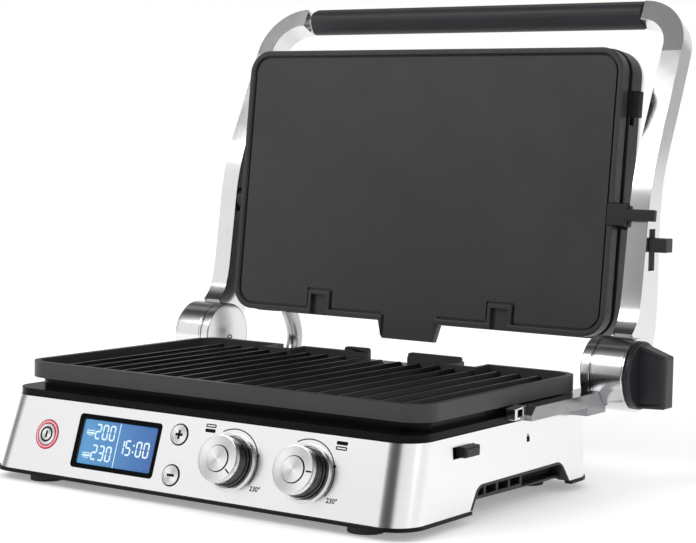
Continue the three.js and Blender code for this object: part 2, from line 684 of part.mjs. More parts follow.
function buildLidFrame() {
  const outer = lidSlab(0, lid.plateDepth, frameBack);
  const frontPocket = lidSlab(lid.wall, lid.plateDepth - fit.overrun, lid.plateDepth + lid.shelfAt);
  const backPocket = lidSlab(lid.wall, lid.plateDepth + lid.shelfAt + lid.shelf, frameBack + fit.overrun);
  const bossLength = arm.inner - fit.gap;
  const boss = pivotBar(pivot.boss, lid.width / 2 - lid.wall, bossLength, 32);
  const bossLeft = pivotBar(pivot.boss, -bossLength, -lid.width / 2 + lid.wall, 32);
  const bores = join(
    pivotBar(pivot.pin + fit.gap, lid.width / 2 - lid.wall - fit.overrun, arm.outer, 20),
    pivotBar(pivot.pin + fit.gap, -arm.outer, -lid.width / 2 + lid.wall + fit.overrun, 20));
  const plateRoom = block(
    [-plate.width / 2 - fit.slide, -plate.depth, -plate.thick - fit.gap],
    [plate.width / 2 + fit.slide, 0, fit.overrun]);
  const lugRoom = block([stop.inner - fit.slide, -stop.high - fit.slide, -stop.thick - fit.gap],
    [plate.width, -stop.low + fit.slide, fit.overrun]);
  const body = join(cut(outer, frontPocket, backPocket), boss, bossLeft);
  return cut(body, bores, plateRoom, lugRoom, tabSlot(fit.gap), conduitRoom());
}

// Lid cover: the stainless dome over the lid's back
function domed(geometry) {
  const spots = geometry.attributes.position;
  for (let index = 0; index < spots.count; index += 1) {
    const share = Math.min(Math.max(spots.getZ(index) / lid.crown, 0), 1);
    const bend = 1 - Math.sqrt(1 - share * share * lid.roundShare);
    const middle = -lid.height / 2 + (lid.height - plate.depth) / 2;
    spots.setX(index, spots.getX(index) * (1 - bend * 2 * lid.crownIn / lid.width));
    spots.setY(index, middle + (spots.getY(index) - middle) * (1 - bend * 2 * lid.crownIn / lid.height));
  }
  return geometry;
}

function crownSolid(inset, low, high) {
  const steps = 4;
  const outline = roundedOutline(
    lid.width - 2 * inset, lid.height - 2 * inset, lid.corner - inset, 0,
    -lid.height / 2 + (lid.height - plate.depth) / 2);
  const geometry = new THREE.ExtrudeGeometry(
    outline, { depth: high - low, steps, bevelEnabled: false, curveSegments: round });
  const solid = toSolid(domed(geometry.translate(0, 0, low)));
  return solid.mirror([0, 0, 1]).translate([0, 0, -frameBack - fit.gap]);
}

function buildLidCover() {
  const outer = crownSolid(0, 0, lid.crown);
  const inner = crownSolid(lid.cover, -fit.overrun, lid.crown - lid.cover);
  return cut(outer, inner);
}

// Heating element: one tube bent back and forth over a plate
function heaterRoute(centreY, height) {
  const points = [];
  const pitch = 2 * heater.spanY / (heater.runs - 1);
  for (let run = 0; run < heater.runs; run += 1) {
    const y = centreY - heater.spanY + run * pitch;
    const side = run % 2 === 0 ? 1 : -1;
    points.push([-side * heater.spanX, y, height]);
    points.push([0, y, height]);
    points.push([side * heater.spanX, y, height]);
    if (run < heater.runs - 1) {
      points.push([side * (heater.spanX + heater.radius * 2), y + pitch / 2, height]);
    }
  }
  return points;
}

function buildLowerHeater() {
  const height = plateLow - heater.lift - heater.radius;
  return tubeAlong(heaterRoute(0, height), heater.radius, 6, 64);
}

function buildUpperHeater() {
  const height = -plate.thick - heater.lift - heater.radius;
  return tubeAlong(heaterRoute(-plate.depth / 2, height), heater.radius, 6, 64);
}

function buildLowerReflector() {
  const low = deckFloor + fit.gap;
  const sheet = plateSeat(deck.pocketIn + reflector.margin, low, low + reflector.thick);
  const heaterLow = plateLow - heater.lift - 2 * heater.radius;
  return join(sheet, heaterPosts(0, low, heaterLow - fit.gap));
}

function buildUpperReflector() {
  const near = lid.plateDepth + lid.shelfAt - fit.gap - reflector.thick;
  const sheet = lidSlab(lid.wall + reflector.margin, near, near + reflector.thick);
  const heaterLow = -plate.thick - heater.lift - 2 * heater.radius;
  return join(sheet, heaterPosts(-plate.depth / 2, -near - reflector.thick, heaterLow - fit.gap));
}

// Heater clips: posts that hold each element over its reflector
function heaterPosts(centreY, low, high) {
  const pitch = 2 * heater.spanY / (heater.runs - 1);
  const posts = [];
  for (let run = 0; run < heater.runs; run += 1) {
    [-reflector.postShare, reflector.postShare].forEach((share) => {
      const x = share * heater.spanX;
      const y = centreY - heater.spanY + run * pitch;
      posts.push(block(
        [x - heater.radius, y - heater.radius, low], [x + heater.radius, y + heater.radius, high]));
    });
  }
  return join(...posts);
}

// Tilt stop: the lug in the plate's edge and its tongue, which rests before the arm
function buildTiltStop() {
  const lug = block([stop.inner, -stop.high, -stop.thick], [stopOut, -stop.low, 0]);
  const tongue = block(
    [stopOut - fit.overrun, -stop.tongueHigh, -stop.tongueThick], [stop.tongueOut, -stop.tongueLow, 0]);
  const bossSeat = pivotBar(pivot.boss + fit.gap, lid.width / 2 - lid.wall, arm.inner, 32);
  return cut(join(lug, tongue), bossSeat);
}

function buildReleaseTab() {
  const depth = lid.plateDepth + tab.at;
  const inner = lid.width / 2 - lid.wall - tab.deep;
  const neck = block(
    [inner, -tab.high + fit.gap, -depth - tab.width / 2 + fit.gap],
    [lid.width / 2 + fit.overrun, -tab.low, -depth + tab.width / 2 - fit.gap]);
  const thumb = block(
    [lid.width / 2 + fit.gap, -tab.high, -depth - tab.width / 2],
    [lid.width / 2 + tab.stand, -tab.low, -depth + tab.width / 2]);
  return join(neck, thumb);
}

// Arms: a cast strap from the hub drum, curving up and back, then in to the handle
// Its edges are given as shares of the way from the hinge back and up to the elbow
const armFrontShares = [
  [0.02, 0.122], [0.118, 0.158], [0.18, 0.221], [0.22, 0.308], [0.261, 0.407], [0.318, 0.541],
  [0.429, 0.667], [0.626, 0.809],
];
const armBackShares = [
  [0.93, 0.855], [0.724, 0.707], [0.591, 0.596], [0.539, 0.478], [0.533, 0.343], [0.533, 0.209],
  [0.487, 0.091], [0.335, 0.004],
];

function armPoint([backShare, upShare]) {
  return new THREE.Vector2(
    hinge.y + backShare * (elbow.y - hinge.y), hinge.z + upShare * (elbow.z - hinge.z));
}

// A corner of the strap where the elbow takes over, in front of or behind its middle
function elbowCorner(side) {
  const across = side * elbow.depth / 2;
  return new THREE.Vector2(
    elbow.y + across * Math.cos(arm.lean * deg), elbow.z - across * Math.sin(arm.lean * deg));
}

function armOutline() {
  const front = new THREE.SplineCurve([...armFrontShares.map(armPoint), elbowCorner(-1)]);
  const back = new THREE.SplineCurve([elbowCorner(1), ...armBackShares.map(armPoint)]);
  return [...front.getPoints(18), ...back.getPoints(18)].map((point) => [point.x, point.y]);
}

function buildElbow() {
  const halfStrap = (arm.outer - arm.inner) / 2;
  const centre = (arm.outer + arm.inner) / 2 - elbow.radius;
  const shape = new THREE.Shape();
  shape.absarc(0, 0, elbow.radius + halfStrap, 0, Math.PI / 2);
  shape.absarc(0, 0, elbow.radius - halfStrap, Math.PI / 2, 0, true);
  const geometry = new THREE.ExtrudeGeometry(
    shape, { depth: elbow.depth, bevelEnabled: false, curveSegments: 12 });
  geometry.translate(0, 0, -elbow.depth / 2);
  const tail = new THREE.BoxGeometry(2 * halfStrap, halfStrap / 2, elbow.depth);
  tail.translate(elbow.radius, -halfStrap / 4 + fit.gap, 0);
  const place = new THREE.Matrix4().makeRotationX(Math.PI / 2 - arm.lean * deg);
  place.setPosition(centre, elbow.y, elbow.z);
  return join(toSolid(geometry.applyMatrix4(place)), toSolid(tail.applyMatrix4(place)));
}

function handleCentre() {
  const rise = elbow.radius;
  return [elbow.y + rise * Math.sin(arm.lean * deg), elbow.z + rise * Math.cos(arm.lean * deg)];
}

function buildArm() {
  const strap = sideProfile(armOutline(), arm.inner, arm.outer);
  const hub = bar(drum.radius, [drum.inner, hinge.y, hinge.z], [drum.outer, hinge.y, hinge.z], 40);
  const hingeBore = bar(
    hinge.pin + fit.gap, [drum.inner - fit.overrun, hinge.y, hinge.z],
    [drum.outer + fit.overrun, hinge.y, hinge.z]);
  const pivotBore = bar(
    pivot.pin + fit.gap, [arm.inner - fit.overrun, pivot.y, pivot.z],
    [arm.inner + pivot.reach, pivot.y, pivot.z], 20);
  return cut(join(strap, hub, buildElbow()), hingeBore, pivotBore);
}

function slotTool(grow, deep) {
  const half = heightSlot.width / 2 + grow;
  return block(
    [arm.outer - deep, heightSlot.y - half, heightSlot.low - grow],
    [arm.outer + fit.overrun, heightSlot.y + half, heightSlot.high + grow]);
}

function buildSliderGuide() {
  const half = heightSlot.width / 2 - fit.gap;
  return block(
    [arm.outer - heightSlot.deep + fit.gap, heightSlot.y - half, heightSlot.low + fit.gap],
    [arm.outer - heightSlot.deep / 2, heightSlot.y + half, heightSlot.high - fit.gap]);
}

function buildHeightSlider() {
  const neck = block(
    [arm.outer - heightSlot.deep / 2 + fit.gap, heightSlot.y - heightSlot.width / 2 + fit.slide, slider.low],
    [arm.outer + fit.overrun, heightSlot.y + heightSlot.width / 2 - fit.slide, slider.high]);
  const thumb = block(
    [arm.outer + fit.gap, heightSlot.y - slider.depth / 2, slider.low],
    [arm.outer + slider.reach, heightSlot.y + slider.depth / 2, slider.high]);
  return join(neck, thumb);
}

function buildHandleBar() {
  const [y, z] = handleCentre();
  const reach = grip.seat - fit.gap;
  return bar(grip.bar, [-reach, y, z], [reach, y, z]);
}

function buildHandleGrip() {
  const [y, z] = handleCentre();
  const outer = bar(grip.radius, [-grip.reach, y, z], [grip.reach, y, z], 32);
  const bore = bar(
    grip.bar + fit.gap, [-grip.reach - fit.overrun, y, z], [grip.reach + fit.overrun, y, z]);
  return cut(outer, bore);
}

// Release lever: a round base with a tapered grip, on the end of the right hub
function buildReleaseLever() {
  const from = drum.outer + fit.gap;
  const base = bar(lever.disc, [from, hinge.y, hinge.z], [from + lever.discThick, hinge.y, hinge.z], 32);
  const root = from + lever.discThick / 2;
  const tip = drum.outer + lever.reach;
  const tipMiddle = hinge.z - lever.tipShift;
  const wedge = frontProfile([
    [root, hinge.z - lever.rootHalf], [tip, tipMiddle - lever.tipHalf],
    [tip, tipMiddle + lever.tipHalf], [root, hinge.z + lever.rootHalf],
  ], hinge.y - lever.width / 2, hinge.y + lever.width / 2);
  return join(base, wedge);
}

function buildHubCap() {
  const from = -drum.outer - fit.gap;
  return bar(lever.disc, [from - cap.thick, hinge.y, hinge.z], [from, hinge.y, hinge.z], 32);
}

// Panel pieces
function buildDisplayBezel() {
  const outer = panelSlab(display.width, display.height, display.corner, display.x, display.down,
    -display.deep, fit.gap);
  const width = display.width - 2 * display.rim;
  const height = display.height - 2 * display.rim;
  const window = panelSlab(width, height, display.corner / 2, display.x, display.down,
    -display.deep - fit.overrun, fit.overrun);
  return cut(outer, window);
}

function buildDisplayLens() {
  const inset = display.rim + fit.gap;
  return panelSlab(display.width - 2 * inset, display.height - 2 * inset, display.corner / 2,
    display.x, display.down, -display.deep + display.deep / 2, -fit.gap);
}

function buildLcdModule() {
  const top = -display.deep - fit.gap;
  const low = -board.behind + fit.gap;
  return panelSlab(display.width - display.rim, display.height - display.rim, display.corner / 2,
    display.x, display.down, low, top);
}

function buildPowerRing() {
  return cut(
    panelDisc(power.x, power.down, power.ring, -board.key, power.stand / 2),
    panelDisc(power.x, power.down, power.button + fit.gap, -board.key - fit.overrun, fit.overrun));
}

function buildKey(x, down, radius, stand, travel) {
  const low = -board.behind + board.key + travel + fit.gap;
  return panelDisc(x, down, radius, low, stand);
}

function buildKnob(x) {
  const profile = [
    [knob.shaft + fit.gap, knob.lift], [knob.radius, knob.lift],
    [knob.radius, knob.lift + knob.height / 4], [knob.face + fit.gap, knob.height - fit.gap * 4],
    [knob.face - fit.gap * 3, knob.height], [knob.button + fit.gap, knob.height],
    [knob.button + fit.gap, knob.seat], [knob.shaft + fit.gap, knob.seat], [knob.shaft + fit.gap, knob.lift],
  ].map(([radius, height]) => new THREE.Vector2(radius, height));
  const geometry = new THREE.LatheGeometry(profile, 32);
  geometry.rotateX(Math.PI / 2);
  return toSolid(geometry.translate(x, -knob.down, 0));
}

function buildKnobButton(x) {
  return panelDisc(x, knob.down, knob.button, knob.seat + knob.travel + fit.gap, knob.height + knob.stand);
}

function buildEncoder(x) {
  const half = board.encoder / 2;
  const body = block(
    [x - half, -knob.down - half, -board.behind + fit.gap],
    [x + half, -knob.down + half, -board.behind / 3]);
  return join(body, panelDisc(x, knob.down, knob.shaft, -board.behind / 2, knob.seat - fit.gap));
}

// The control board, with its push switches and display bracket behind the panel
function buildControlBoard() {
  const left = power.x - board.beyondPower;
  const right = knob.second + board.beyondKnob;
  const body = panelSlab(right - left, board.height, display.corner, (left + right) / 2, display.down,
    -board.behind - board.thick, -board.behind);
  const switches = [[power.x, power.down], [keys.x, keys.plusDown], [keys.x, keys.minusDown]].map(
    ([x, down]) => panelDisc(x, down, board.key, -board.behind - fit.gap, -board.behind + board.key));
  return join(body, ...switches);
}

function buildPowerBoard() {
  const { x, y, width, depth, thick, part, choke: chokeRadius } = powerBoard;
  const body = block(
    [x - width / 2, y - depth / 2, boardLow], [x + width / 2, y + depth / 2, boardLow + thick]);
  const partTop = boardLow + thick + part / 2;
  const relay = block(
    [x - width / 4, y - depth / 4, boardLow + thick - fit.gap], [x, y + depth / 4, partTop]);
  const choke = bar(chokeRadius, [x + width / 4, y, boardLow], [x + width / 4, y, partTop]);
  return join(body, relay, choke);
}

// Slider on the right side that lets the lower plate go
function buildBaseRelease() {
  const outer = shell.width / 2 + shell.sideFlare * (shellTop - release.z) / shell.height;
  const front = release.y + release.slotLength / 2 - release.knobLength - fit.gap;
  const neck = block(
    [shell.width / 2 - shell.wall - fit.overrun / 2, front, release.z - release.height / 2 + fit.gap],
    [outer + fit.overrun, front + release.knobLength, release.z + release.height / 2 - fit.gap]);
  const thumb = block(
    [outer + fit.gap * 2, front, release.z - release.height / 2 + fit.gap],
    [outer + release.stand, front + release.knobLength, release.z + release.height / 2 - fit.gap]);
  return join(neck, thumb);
}

// Drip tray: an open box that slides out under the lower plate's spout
function buildDripTray() {
  const { halfWidth, front, low, high, wall, face, faceOver } = tray;
  const back = shell.back + fit.gap;
  const body = block([-halfWidth, front, low], [halfWidth, back + fit.gap, high]);
  const inside = block(
    [-halfWidth + wall, front + wall, low + wall], [halfWidth - wall, back - wall, high + fit.overrun]);
  const facePlate = block(
    [-halfWidth - faceOver, back, low - faceOver], [halfWidth + faceOver, back + face, high + faceOver]);
  return join(cut(body, inside), facePlate);
}

function buildMainsInlet() {
  const body = bar(mains.radius, [mains.x, shell.back - mains.deep / 2, mains.z],
    [mains.x, shell.back + mains.stand, mains.z]);
  const bore = bar(mains.radius / 2, [mains.x, shell.back - mains.deep, mains.z],
    [mains.x, shell.back + mains.stand + fit.overrun, mains.z]);
  return cut(body, bore);
}

// The base and what it holds
addPiece('base_shell', buildBaseShell(), 'steel');
addPiece('top_deck', buildTopDeck(), 'black');
addPiece('bottom_cover', buildBottomCover(), 'black');
const rightRecess = buildSideRecess();
addPiece('side_recess_right', rightRecess, 'black');
addPiece('side_recess_left', mirrored(rightRecess), 'black');
const footX = halfShell - foot.fromSide;
const footFront = shell.front - shell.frontFlare + foot.fromFront;
const footBack = shell.back - foot.fromBack;
[['front_left', -footX, footFront], ['front_right', footX, footFront],
  ['rear_left', -footX, footBack], ['rear_right', footX, footBack],
].forEach(([where, x, y]) => addPiece(`foot_${where}`, buildFoot(x, y), 'rubber'));
const rightBracket = buildHingeBracket();
addPiece('hinge_bracket_right', rightBracket, 'chrome');
addPiece('hinge_bracket_left', mirrored(rightBracket), 'chrome');
addPiece('plate_catch', buildCatchClip(), 'chrome');
addPiece('hinge_pin_right', buildHingePin(), 'steel');
addPiece('hinge_pin_left', mirrored(buildHingePin()), 'steel');
addPiece('lower_heater', buildLowerHeater(), 'element');
addPiece('lower_reflector', buildLowerReflector(), 'reflective');
addPiece('power_board', buildPowerBoard(), 'circuit');
addPiece('cord_inlet', buildMainsInlet(), 'rubber');
addPiece('drip_tray', buildDripTray(), 'black');
addPiece('base_release_slider', buildBaseRelease(), 'black');

// The control panel
addOnPanel('display_bezel', buildDisplayBezel(), 'black');
addOnPanel('display_lens', buildDisplayLens(), 'glass');
addOnPanel('lcd_module', buildLcdModule(), 'screen');
addOnPanel('power_ring', buildPowerRing(), 'red');
addOnPanel('power_button', buildKey(power.x, power.down, power.button, power.stand, power.travel), 'steel');
addOnPanel('plus_button', buildKey(keys.x, keys.plusDown, keys.radius, keys.stand, keys.travel), 'steel');
addOnPanel('minus_button', buildKey(keys.x, keys.minusDown, keys.radius, keys.stand, keys.travel), 'steel');
[['left', knob.first], ['right', knob.second]].forEach(([where, x]) => {
  addOnPanel(`knob_${where}`, buildKnob(x), 'steel');
  addOnPanel(`knob_button_${where}`, buildKnobButton(x), 'steel');
  addOnPanel(`encoder_${where}`, buildEncoder(x), 'element');
});
addOnPanel('control_board', buildControlBoard(), 'circuit');

// The cooking plates
addPiece('lower_grill_plate', buildLowerPlate(), 'coated');
addPiece('upper_flat_plate', placedSolid(buildUpperPlate(), onLid), 'coated');

// The arms and the handle
const rightArm = buildArm();
addPiece('arm_right', cut(rightArm, slotTool(0, heightSlot.deep)), 'chrome');
addPiece('arm_left', mirrored(rightArm), 'chrome');
addPiece('handle_bar', buildHandleBar(), 'steel');
addPiece('handle_grip', buildHandleGrip(), 'black');
addPiece('hub_cap_left', buildHubCap(), 'chrome');
addPiece('release_lever', buildReleaseLever(), 'black');
addPiece('slider_guide', buildSliderGuide(), 'black');
addPiece('height_slider', buildHeightSlider(), 'black');
addPiece('cable_conduit', tubeAlong(conduitPoints(), conduit.radius, 12, 24), 'chrome');

// The lid
addPiece('lid_frame', placedSolid(buildLidFrame(), onLid), 'black');
addPiece('lid_cover', placedSolid(buildLidCover(), onLid), 'steel');
addPiece('upper_heater', placedSolid(buildUpperHeater(), onLid), 'element');
addPiece('upper_reflector', placedSolid(buildUpperReflector(), onLid), 'reflective');
addPiece('tilt_stop', placedSolid(buildTiltStop(), onLid), 'black');
addPiece('lid_release_tab', placedSolid(buildReleaseTab(), onLid), 'black');
const pivotFrom = lid.width / 2 - lid.wall;
const pivotTo = arm.inner + pivot.reach - fit.gap;
const pivotPin = bar(pivot.pin, [pivotFrom, pivot.y, pivot.z], [pivotTo, pivot.y, pivot.z], 20);
addPiece('pivot_pin_right', pivotPin, 'steel');
addPiece('pivot_pin_left', mirrored(pivotPin), 'steel');

// The origin is under the middle of the object's box
const box = new THREE.Box3().setFromObject(grill);
grill.position.set(-(box.min.x + box.max.x) / 2, -(box.min.y + box.max.y) / 2, -box.min.z);
grill.updateMatrixWorld(true);

export default grill;
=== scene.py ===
# %% [markdown]
# # A contact grill, dressed for its photograph
# The frame holds the grill's moving parts at their real size. This script gives each part
# the shape, edges and finish that the eye looks for: brushed steel, polished castings,
# coated plates and black mouldings. It goes piece by piece, as a model maker would.

# %% Load the frame
import json
import math

import bpy
from mathutils import Matrix, Vector

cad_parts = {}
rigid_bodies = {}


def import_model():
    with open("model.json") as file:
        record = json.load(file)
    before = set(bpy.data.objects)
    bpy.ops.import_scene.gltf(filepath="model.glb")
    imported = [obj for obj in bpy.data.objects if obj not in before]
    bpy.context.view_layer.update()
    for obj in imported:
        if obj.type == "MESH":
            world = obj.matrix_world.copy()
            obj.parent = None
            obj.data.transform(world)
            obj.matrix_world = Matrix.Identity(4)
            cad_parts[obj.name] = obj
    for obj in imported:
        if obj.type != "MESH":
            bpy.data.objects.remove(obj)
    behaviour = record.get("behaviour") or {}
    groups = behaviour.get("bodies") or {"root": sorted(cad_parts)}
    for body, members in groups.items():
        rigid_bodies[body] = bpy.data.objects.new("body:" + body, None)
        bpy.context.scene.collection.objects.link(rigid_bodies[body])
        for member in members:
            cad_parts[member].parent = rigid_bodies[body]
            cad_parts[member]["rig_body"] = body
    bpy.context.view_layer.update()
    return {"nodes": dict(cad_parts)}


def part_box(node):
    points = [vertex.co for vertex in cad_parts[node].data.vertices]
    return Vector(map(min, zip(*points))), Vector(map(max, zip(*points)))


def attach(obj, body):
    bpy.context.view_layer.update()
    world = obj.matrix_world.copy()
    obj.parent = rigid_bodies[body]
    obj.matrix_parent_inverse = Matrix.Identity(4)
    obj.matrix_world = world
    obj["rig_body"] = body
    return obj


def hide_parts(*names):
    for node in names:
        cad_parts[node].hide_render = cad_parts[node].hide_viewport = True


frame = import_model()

nodes = frame["nodes"]
scene = bpy.context.scene
MM = 0.001

# %% [markdown]
# ## Where things are
# The grill was drawn from the middle of its lower plate. A foot shows where that drawing
# lies in the frame. Two slopes have their own directions: the control panel leans back,
# and the upper plate stands up. Each gets a matrix, so that a piece can be modelled lying
# flat, with its face up, and then be put in its place.

# %% Places and directions
foot_low, foot_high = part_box("foot_front_left")
foot_middle = (foot_low + foot_high) / 2
DRAWN_FOOT = Vector((-148, -127, 0)) * MM
drawing = Matrix.Translation((foot_middle.x - DRAWN_FOOT.x, foot_middle.y - DRAWN_FOOT.y, 0))

BASE = {"side": 187.5, "front": -128.8, "back": 126.6, "low": 9, "top": 63.1, "corner": 22}
FLARE = {"front": 17.8, "side": 4.4}
PLATE = {"side": 185, "depth": 231, "corner": 20, "thick": 12.5, "low": 75.4}
NOTCHES = (-91.5, 89.5)
LID = {"y": 148.7, "z": 112.2, "lean": 6}
HINGE = {"y": 141, "z": 87}
HANDLE = {"y": 242.96, "z": 371.04, "reach": 166}

panel_tilt = math.atan2(BASE["top"] - BASE["low"], FLARE["front"])
panel = (drawing @ Matrix.Translation((0, BASE["front"] * MM, BASE["top"] * MM))
         @ Matrix.Rotation(panel_tilt, 4, "X"))
upper = (drawing @ Matrix.Translation((0, LID["y"] * MM, LID["z"] * MM))
         @ Matrix.Rotation(math.radians(90 - LID["lean"]), 4, "X"))
print("panel leans back", round(90 - math.degrees(panel_tilt), 1), "degrees")

# %% [markdown]
# ## The camera
# The camera stands where the photograph was taken: to the right of the grill, a little
# above it, with a long lens. Its three directions come from lining up the plates, the
# base and the handle with the picture.

# %% Camera
FOCAL_PIXELS = 1844.2
PHOTO_WIDTH = 696
camera_data = bpy.data.cameras.new("camera")
camera_data.sensor_width = 36
camera_data.lens = FOCAL_PIXELS * camera_data.sensor_width / PHOTO_WIDTH
camera_data.clip_end = 50
camera = bpy.data.objects.new("camera", camera_data)
scene.collection.objects.link(camera)
right, up, back = (0.8243, 0.5658, 0.0184), (-0.0576, 0.0514, 0.9970), (0.5632, -0.8229, 0.0750)
camera_place = (0.8348, -1.1579, 0.2701)
camera.matrix_world = drawing @ Matrix(
    [(right[i], up[i], back[i], camera_place[i]) for i in range(3)] + [(0, 0, 0, 1)])
scene.camera = camera
print("lens", round(camera_data.lens, 1), "mm")

# %% [markdown]
# ## Light
# Polished metal shows the room, so the room is designed. A picture of a real studio could
# light it, but ramps drawn in nodes need no picture and each band can be moved on its own.
# The world is white for the camera and even for plain surfaces. For reflections it has a
# dark ceiling and dark gaps between its white walls: they draw the dark bands on the hubs
# and at the corners of the base.

# %% World and node shorthands
scene.view_settings.view_transform = "Standard"
world = bpy.data.worlds.new("studio")
scene.world = world
world.use_nodes = True
tree = world.node_tree
tree.nodes.clear()


def wire(tree, source, target):
    tree.links.new(source, target)


def ramp_node(tree, stops):
    node = tree.nodes.new("ShaderNodeValToRGB")
    ramp = node.color_ramp
    ramp.elements.remove(ramp.elements[1])
    for index, (place, level) in enumerate(stops):
        element = ramp.elements[0] if index == 0 else ramp.elements.new(place)
        element.position = place
        element.color = (level, level, level, 1)
    return node


def maths(tree, operation, *values):
    node = tree.nodes.new("ShaderNodeMath")
    node.operation = operation
    for index, value in enumerate(values):
        if isinstance(value, bpy.types.NodeSocket):
            wire(tree, value, node.inputs[index])
        else:
            node.inputs[index].default_value = value
    return node.outputs[0]


# %% Walls and ceiling, seen in reflections
direction = tree.nodes.new("ShaderNodeTexCoord").outputs["Generated"]
split = tree.nodes.new("ShaderNodeSeparateXYZ")
wire(tree, direction, split.inputs[0])
height = maths(tree, "MULTIPLY_ADD", split.outputs["Z"], 0.5, 0.5)
ceiling = ramp_node(tree, [(0.0, 0.8), (0.47, 0.95), (0.5, 1.0), (0.72, 1.0), (0.8, 0.34), (1.0, 0.16)])
wire(tree, height, ceiling.inputs[0])
around = maths(tree, "ARCTAN2", split.outputs["X"], maths(tree, "MULTIPLY", split.outputs["Y"], -1.0))
turn = maths(tree, "MULTIPLY_ADD", around, 1 / math.tau, 0.5)
walls = ramp_node(tree, [
    (0.0, 0.9), (0.1, 0.9), (0.125, 0.3), (0.155, 0.3), (0.18, 0.9), (0.215, 0.92), (0.24, 0.2), (0.3, 0.2),
    (0.34, 0.95), (0.415, 1.0), (0.435, 0.03), (0.55, 0.03), (0.575, 0.95), (0.8, 0.9), (0.905, 1.0),
    (0.92, 0.5), (0.945, 0.55), (0.97, 0.9), (1.0, 0.9)])
wire(tree, turn, walls.inputs[0])
room = maths(tree, "MULTIPLY", ceiling.outputs[0], walls.outputs[0])

# %% What each ray sees
rays = tree.nodes.new("ShaderNodeLightPath")
EVEN_LEVEL = 0.8
seen = tree.nodes.new("ShaderNodeMix")
seen.inputs["A"].default_value = EVEN_LEVEL
wire(tree, rays.outputs["Is Glossy Ray"], seen.inputs["Factor"])
wire(tree, room, seen.inputs["B"])
white = tree.nodes.new("ShaderNodeMix")
white.inputs["B"].default_value = 1
wire(tree, maths(tree, "MAXIMUM", rays.outputs["Is Camera Ray"], rays.outputs["Is Transmission Ray"]),
     white.inputs["Factor"])
wire(tree, seen.outputs["Result"], white.inputs["A"])
background = tree.nodes.new("ShaderNodeBackground")
wire(tree, white.outputs["Result"], background.inputs["Color"])
output = tree.nodes.new("ShaderNodeOutputWorld")
wire(tree, background.outputs[0], output.inputs[0])
print("world:", len(tree.nodes), "nodes, level", EVEN_LEVEL, "on plain surfaces")

# %% [markdown]
# A strong lamp stands in front on the left and a weak one on the right, to open the
# shadows there. A small lamp would draw hard shadows, so both are large.


# %% Lamps
def lamp(name, place, aim, size, power):
    data = bpy.data.lights.new(name, "AREA")
    data.shape = "RECTANGLE"
    data.size, data.size_y = size
    data.energy = power
    light = bpy.data.objects.new(name, data)
    scene.collection.objects.link(light)
    light.location = place
    light.rotation_euler = (Vector(aim) - Vector(place)).to_track_quat("-Z", "Y").to_euler()


grill_middle = (0, 0, 0.15)
lamp("key", (-0.9, -1.3, 1.5), grill_middle, (1.2, 0.8), 12)
lamp("fill", (1.6, -0.2, 0.9), grill_middle, (0.6, 1.0), 1.2)
print(len(bpy.data.lights), "lamps")


# %% [markdown]
# ## Finishes
# Real finishes are never even. A photograph could be wrapped round each piece, but nodes stay sharp at any distance
# and need no unwrapping. Four effects come back in many finishes, so each is built once as a node group: the lines
# that brushing leaves, the grain of a moulding, the rings of turned metal with a painted highlight sweeping over
# them, and the pale line along an edge, partly wear and partly painted highlight.

# %% Node helpers
def group(name, inputs, outputs):
    made = bpy.data.node_groups.new(name, "ShaderNodeTree")
    for label, kind, value in inputs:
        socket = made.interface.new_socket(label, in_out="INPUT", socket_type=kind)
        socket.default_value = value
    for label, kind in outputs:
        made.interface.new_socket(label, in_out="OUTPUT", socket_type=kind)
    return made, made.nodes.new("NodeGroupInput"), made.nodes.new("NodeGroupOutput")


def noise(tree, vector, scale, detail=3.0, rough=0.6):
    node = tree.nodes.new("ShaderNodeTexNoise")
    wire(tree, vector, node.inputs["Vector"])
    if isinstance(scale, bpy.types.NodeSocket):
        wire(tree, scale, node.inputs["Scale"])
    else:
        node.inputs["Scale"].default_value = scale
    node.inputs["Detail"].default_value = detail
    node.inputs["Roughness"].default_value = rough
    return node.outputs["Fac"]


# %% [markdown]
# Brushing pulls scratches in one direction. Noise that is squeezed across that direction
# gives them, and slow noise adds the clouds that fingers and polishing leave.

# %% Brushed lines
brushed, group_in, group_out = group(
    "brushed_lines",
    [("Vector", "NodeSocketVector", (0, 0, 0)), ("Stretch", "NodeSocketVector", (6, 6, 900))],
    [("Lines", "NodeSocketFloat"), ("Clouds", "NodeSocketFloat")])
stretch = brushed.nodes.new("ShaderNodeVectorMath")
stretch.operation = "MULTIPLY"
wire(brushed, group_in.outputs["Vector"], stretch.inputs[0])
wire(brushed, group_in.outputs["Stretch"], stretch.inputs[1])
wire(brushed, noise(brushed, stretch.outputs[0], 1.0, 5.0, 0.7), group_out.inputs["Lines"])
wire(brushed, noise(brushed, group_in.outputs["Vector"], 9.0, 2.0), group_out.inputs["Clouds"])

# %% [markdown]
# A moulding keeps the fine pitting of its mould, and the hand leaves faint smears on it.
# Two noises of very different size do both.

# %% Grain
grain, group_in, group_out = group(
    "moulded_grain",
    [("Vector", "NodeSocketVector", (0, 0, 0)), ("Scale", "NodeSocketFloat", 1500.0)],
    [("Grain", "NodeSocketFloat"), ("Smears", "NodeSocketFloat")])
wire(grain, noise(grain, group_in.outputs["Vector"], group_in.outputs["Scale"], 2.0),
     group_out.inputs["Grain"])
wire(grain, noise(grain, group_in.outputs["Vector"], 22.0, 4.0, 0.55), group_out.inputs["Smears"])

# %% [markdown]
# A lathe leaves rings around the middle of a face. The distance from the middle drives a noise for the rings. The
# bright sweep that light draws over such rings, like the hands of a clock, is a painted highlight: the angle around
# the middle drives a wave that lightens the colour, the same under any light.

# %% Turned metal
turned, group_in, group_out = group(
    "turned_rings_painted_sweep",
    [("Vector", "NodeSocketVector", (0, 0, 0)), ("Centre", "NodeSocketVector", (0, 0, 0)),
     ("Across", "NodeSocketVector", (1, 0, 0)), ("Along", "NodeSocketVector", (0, 0, 1))],
    [("Rings", "NodeSocketFloat"), ("Painted_Sweep", "NodeSocketFloat")])


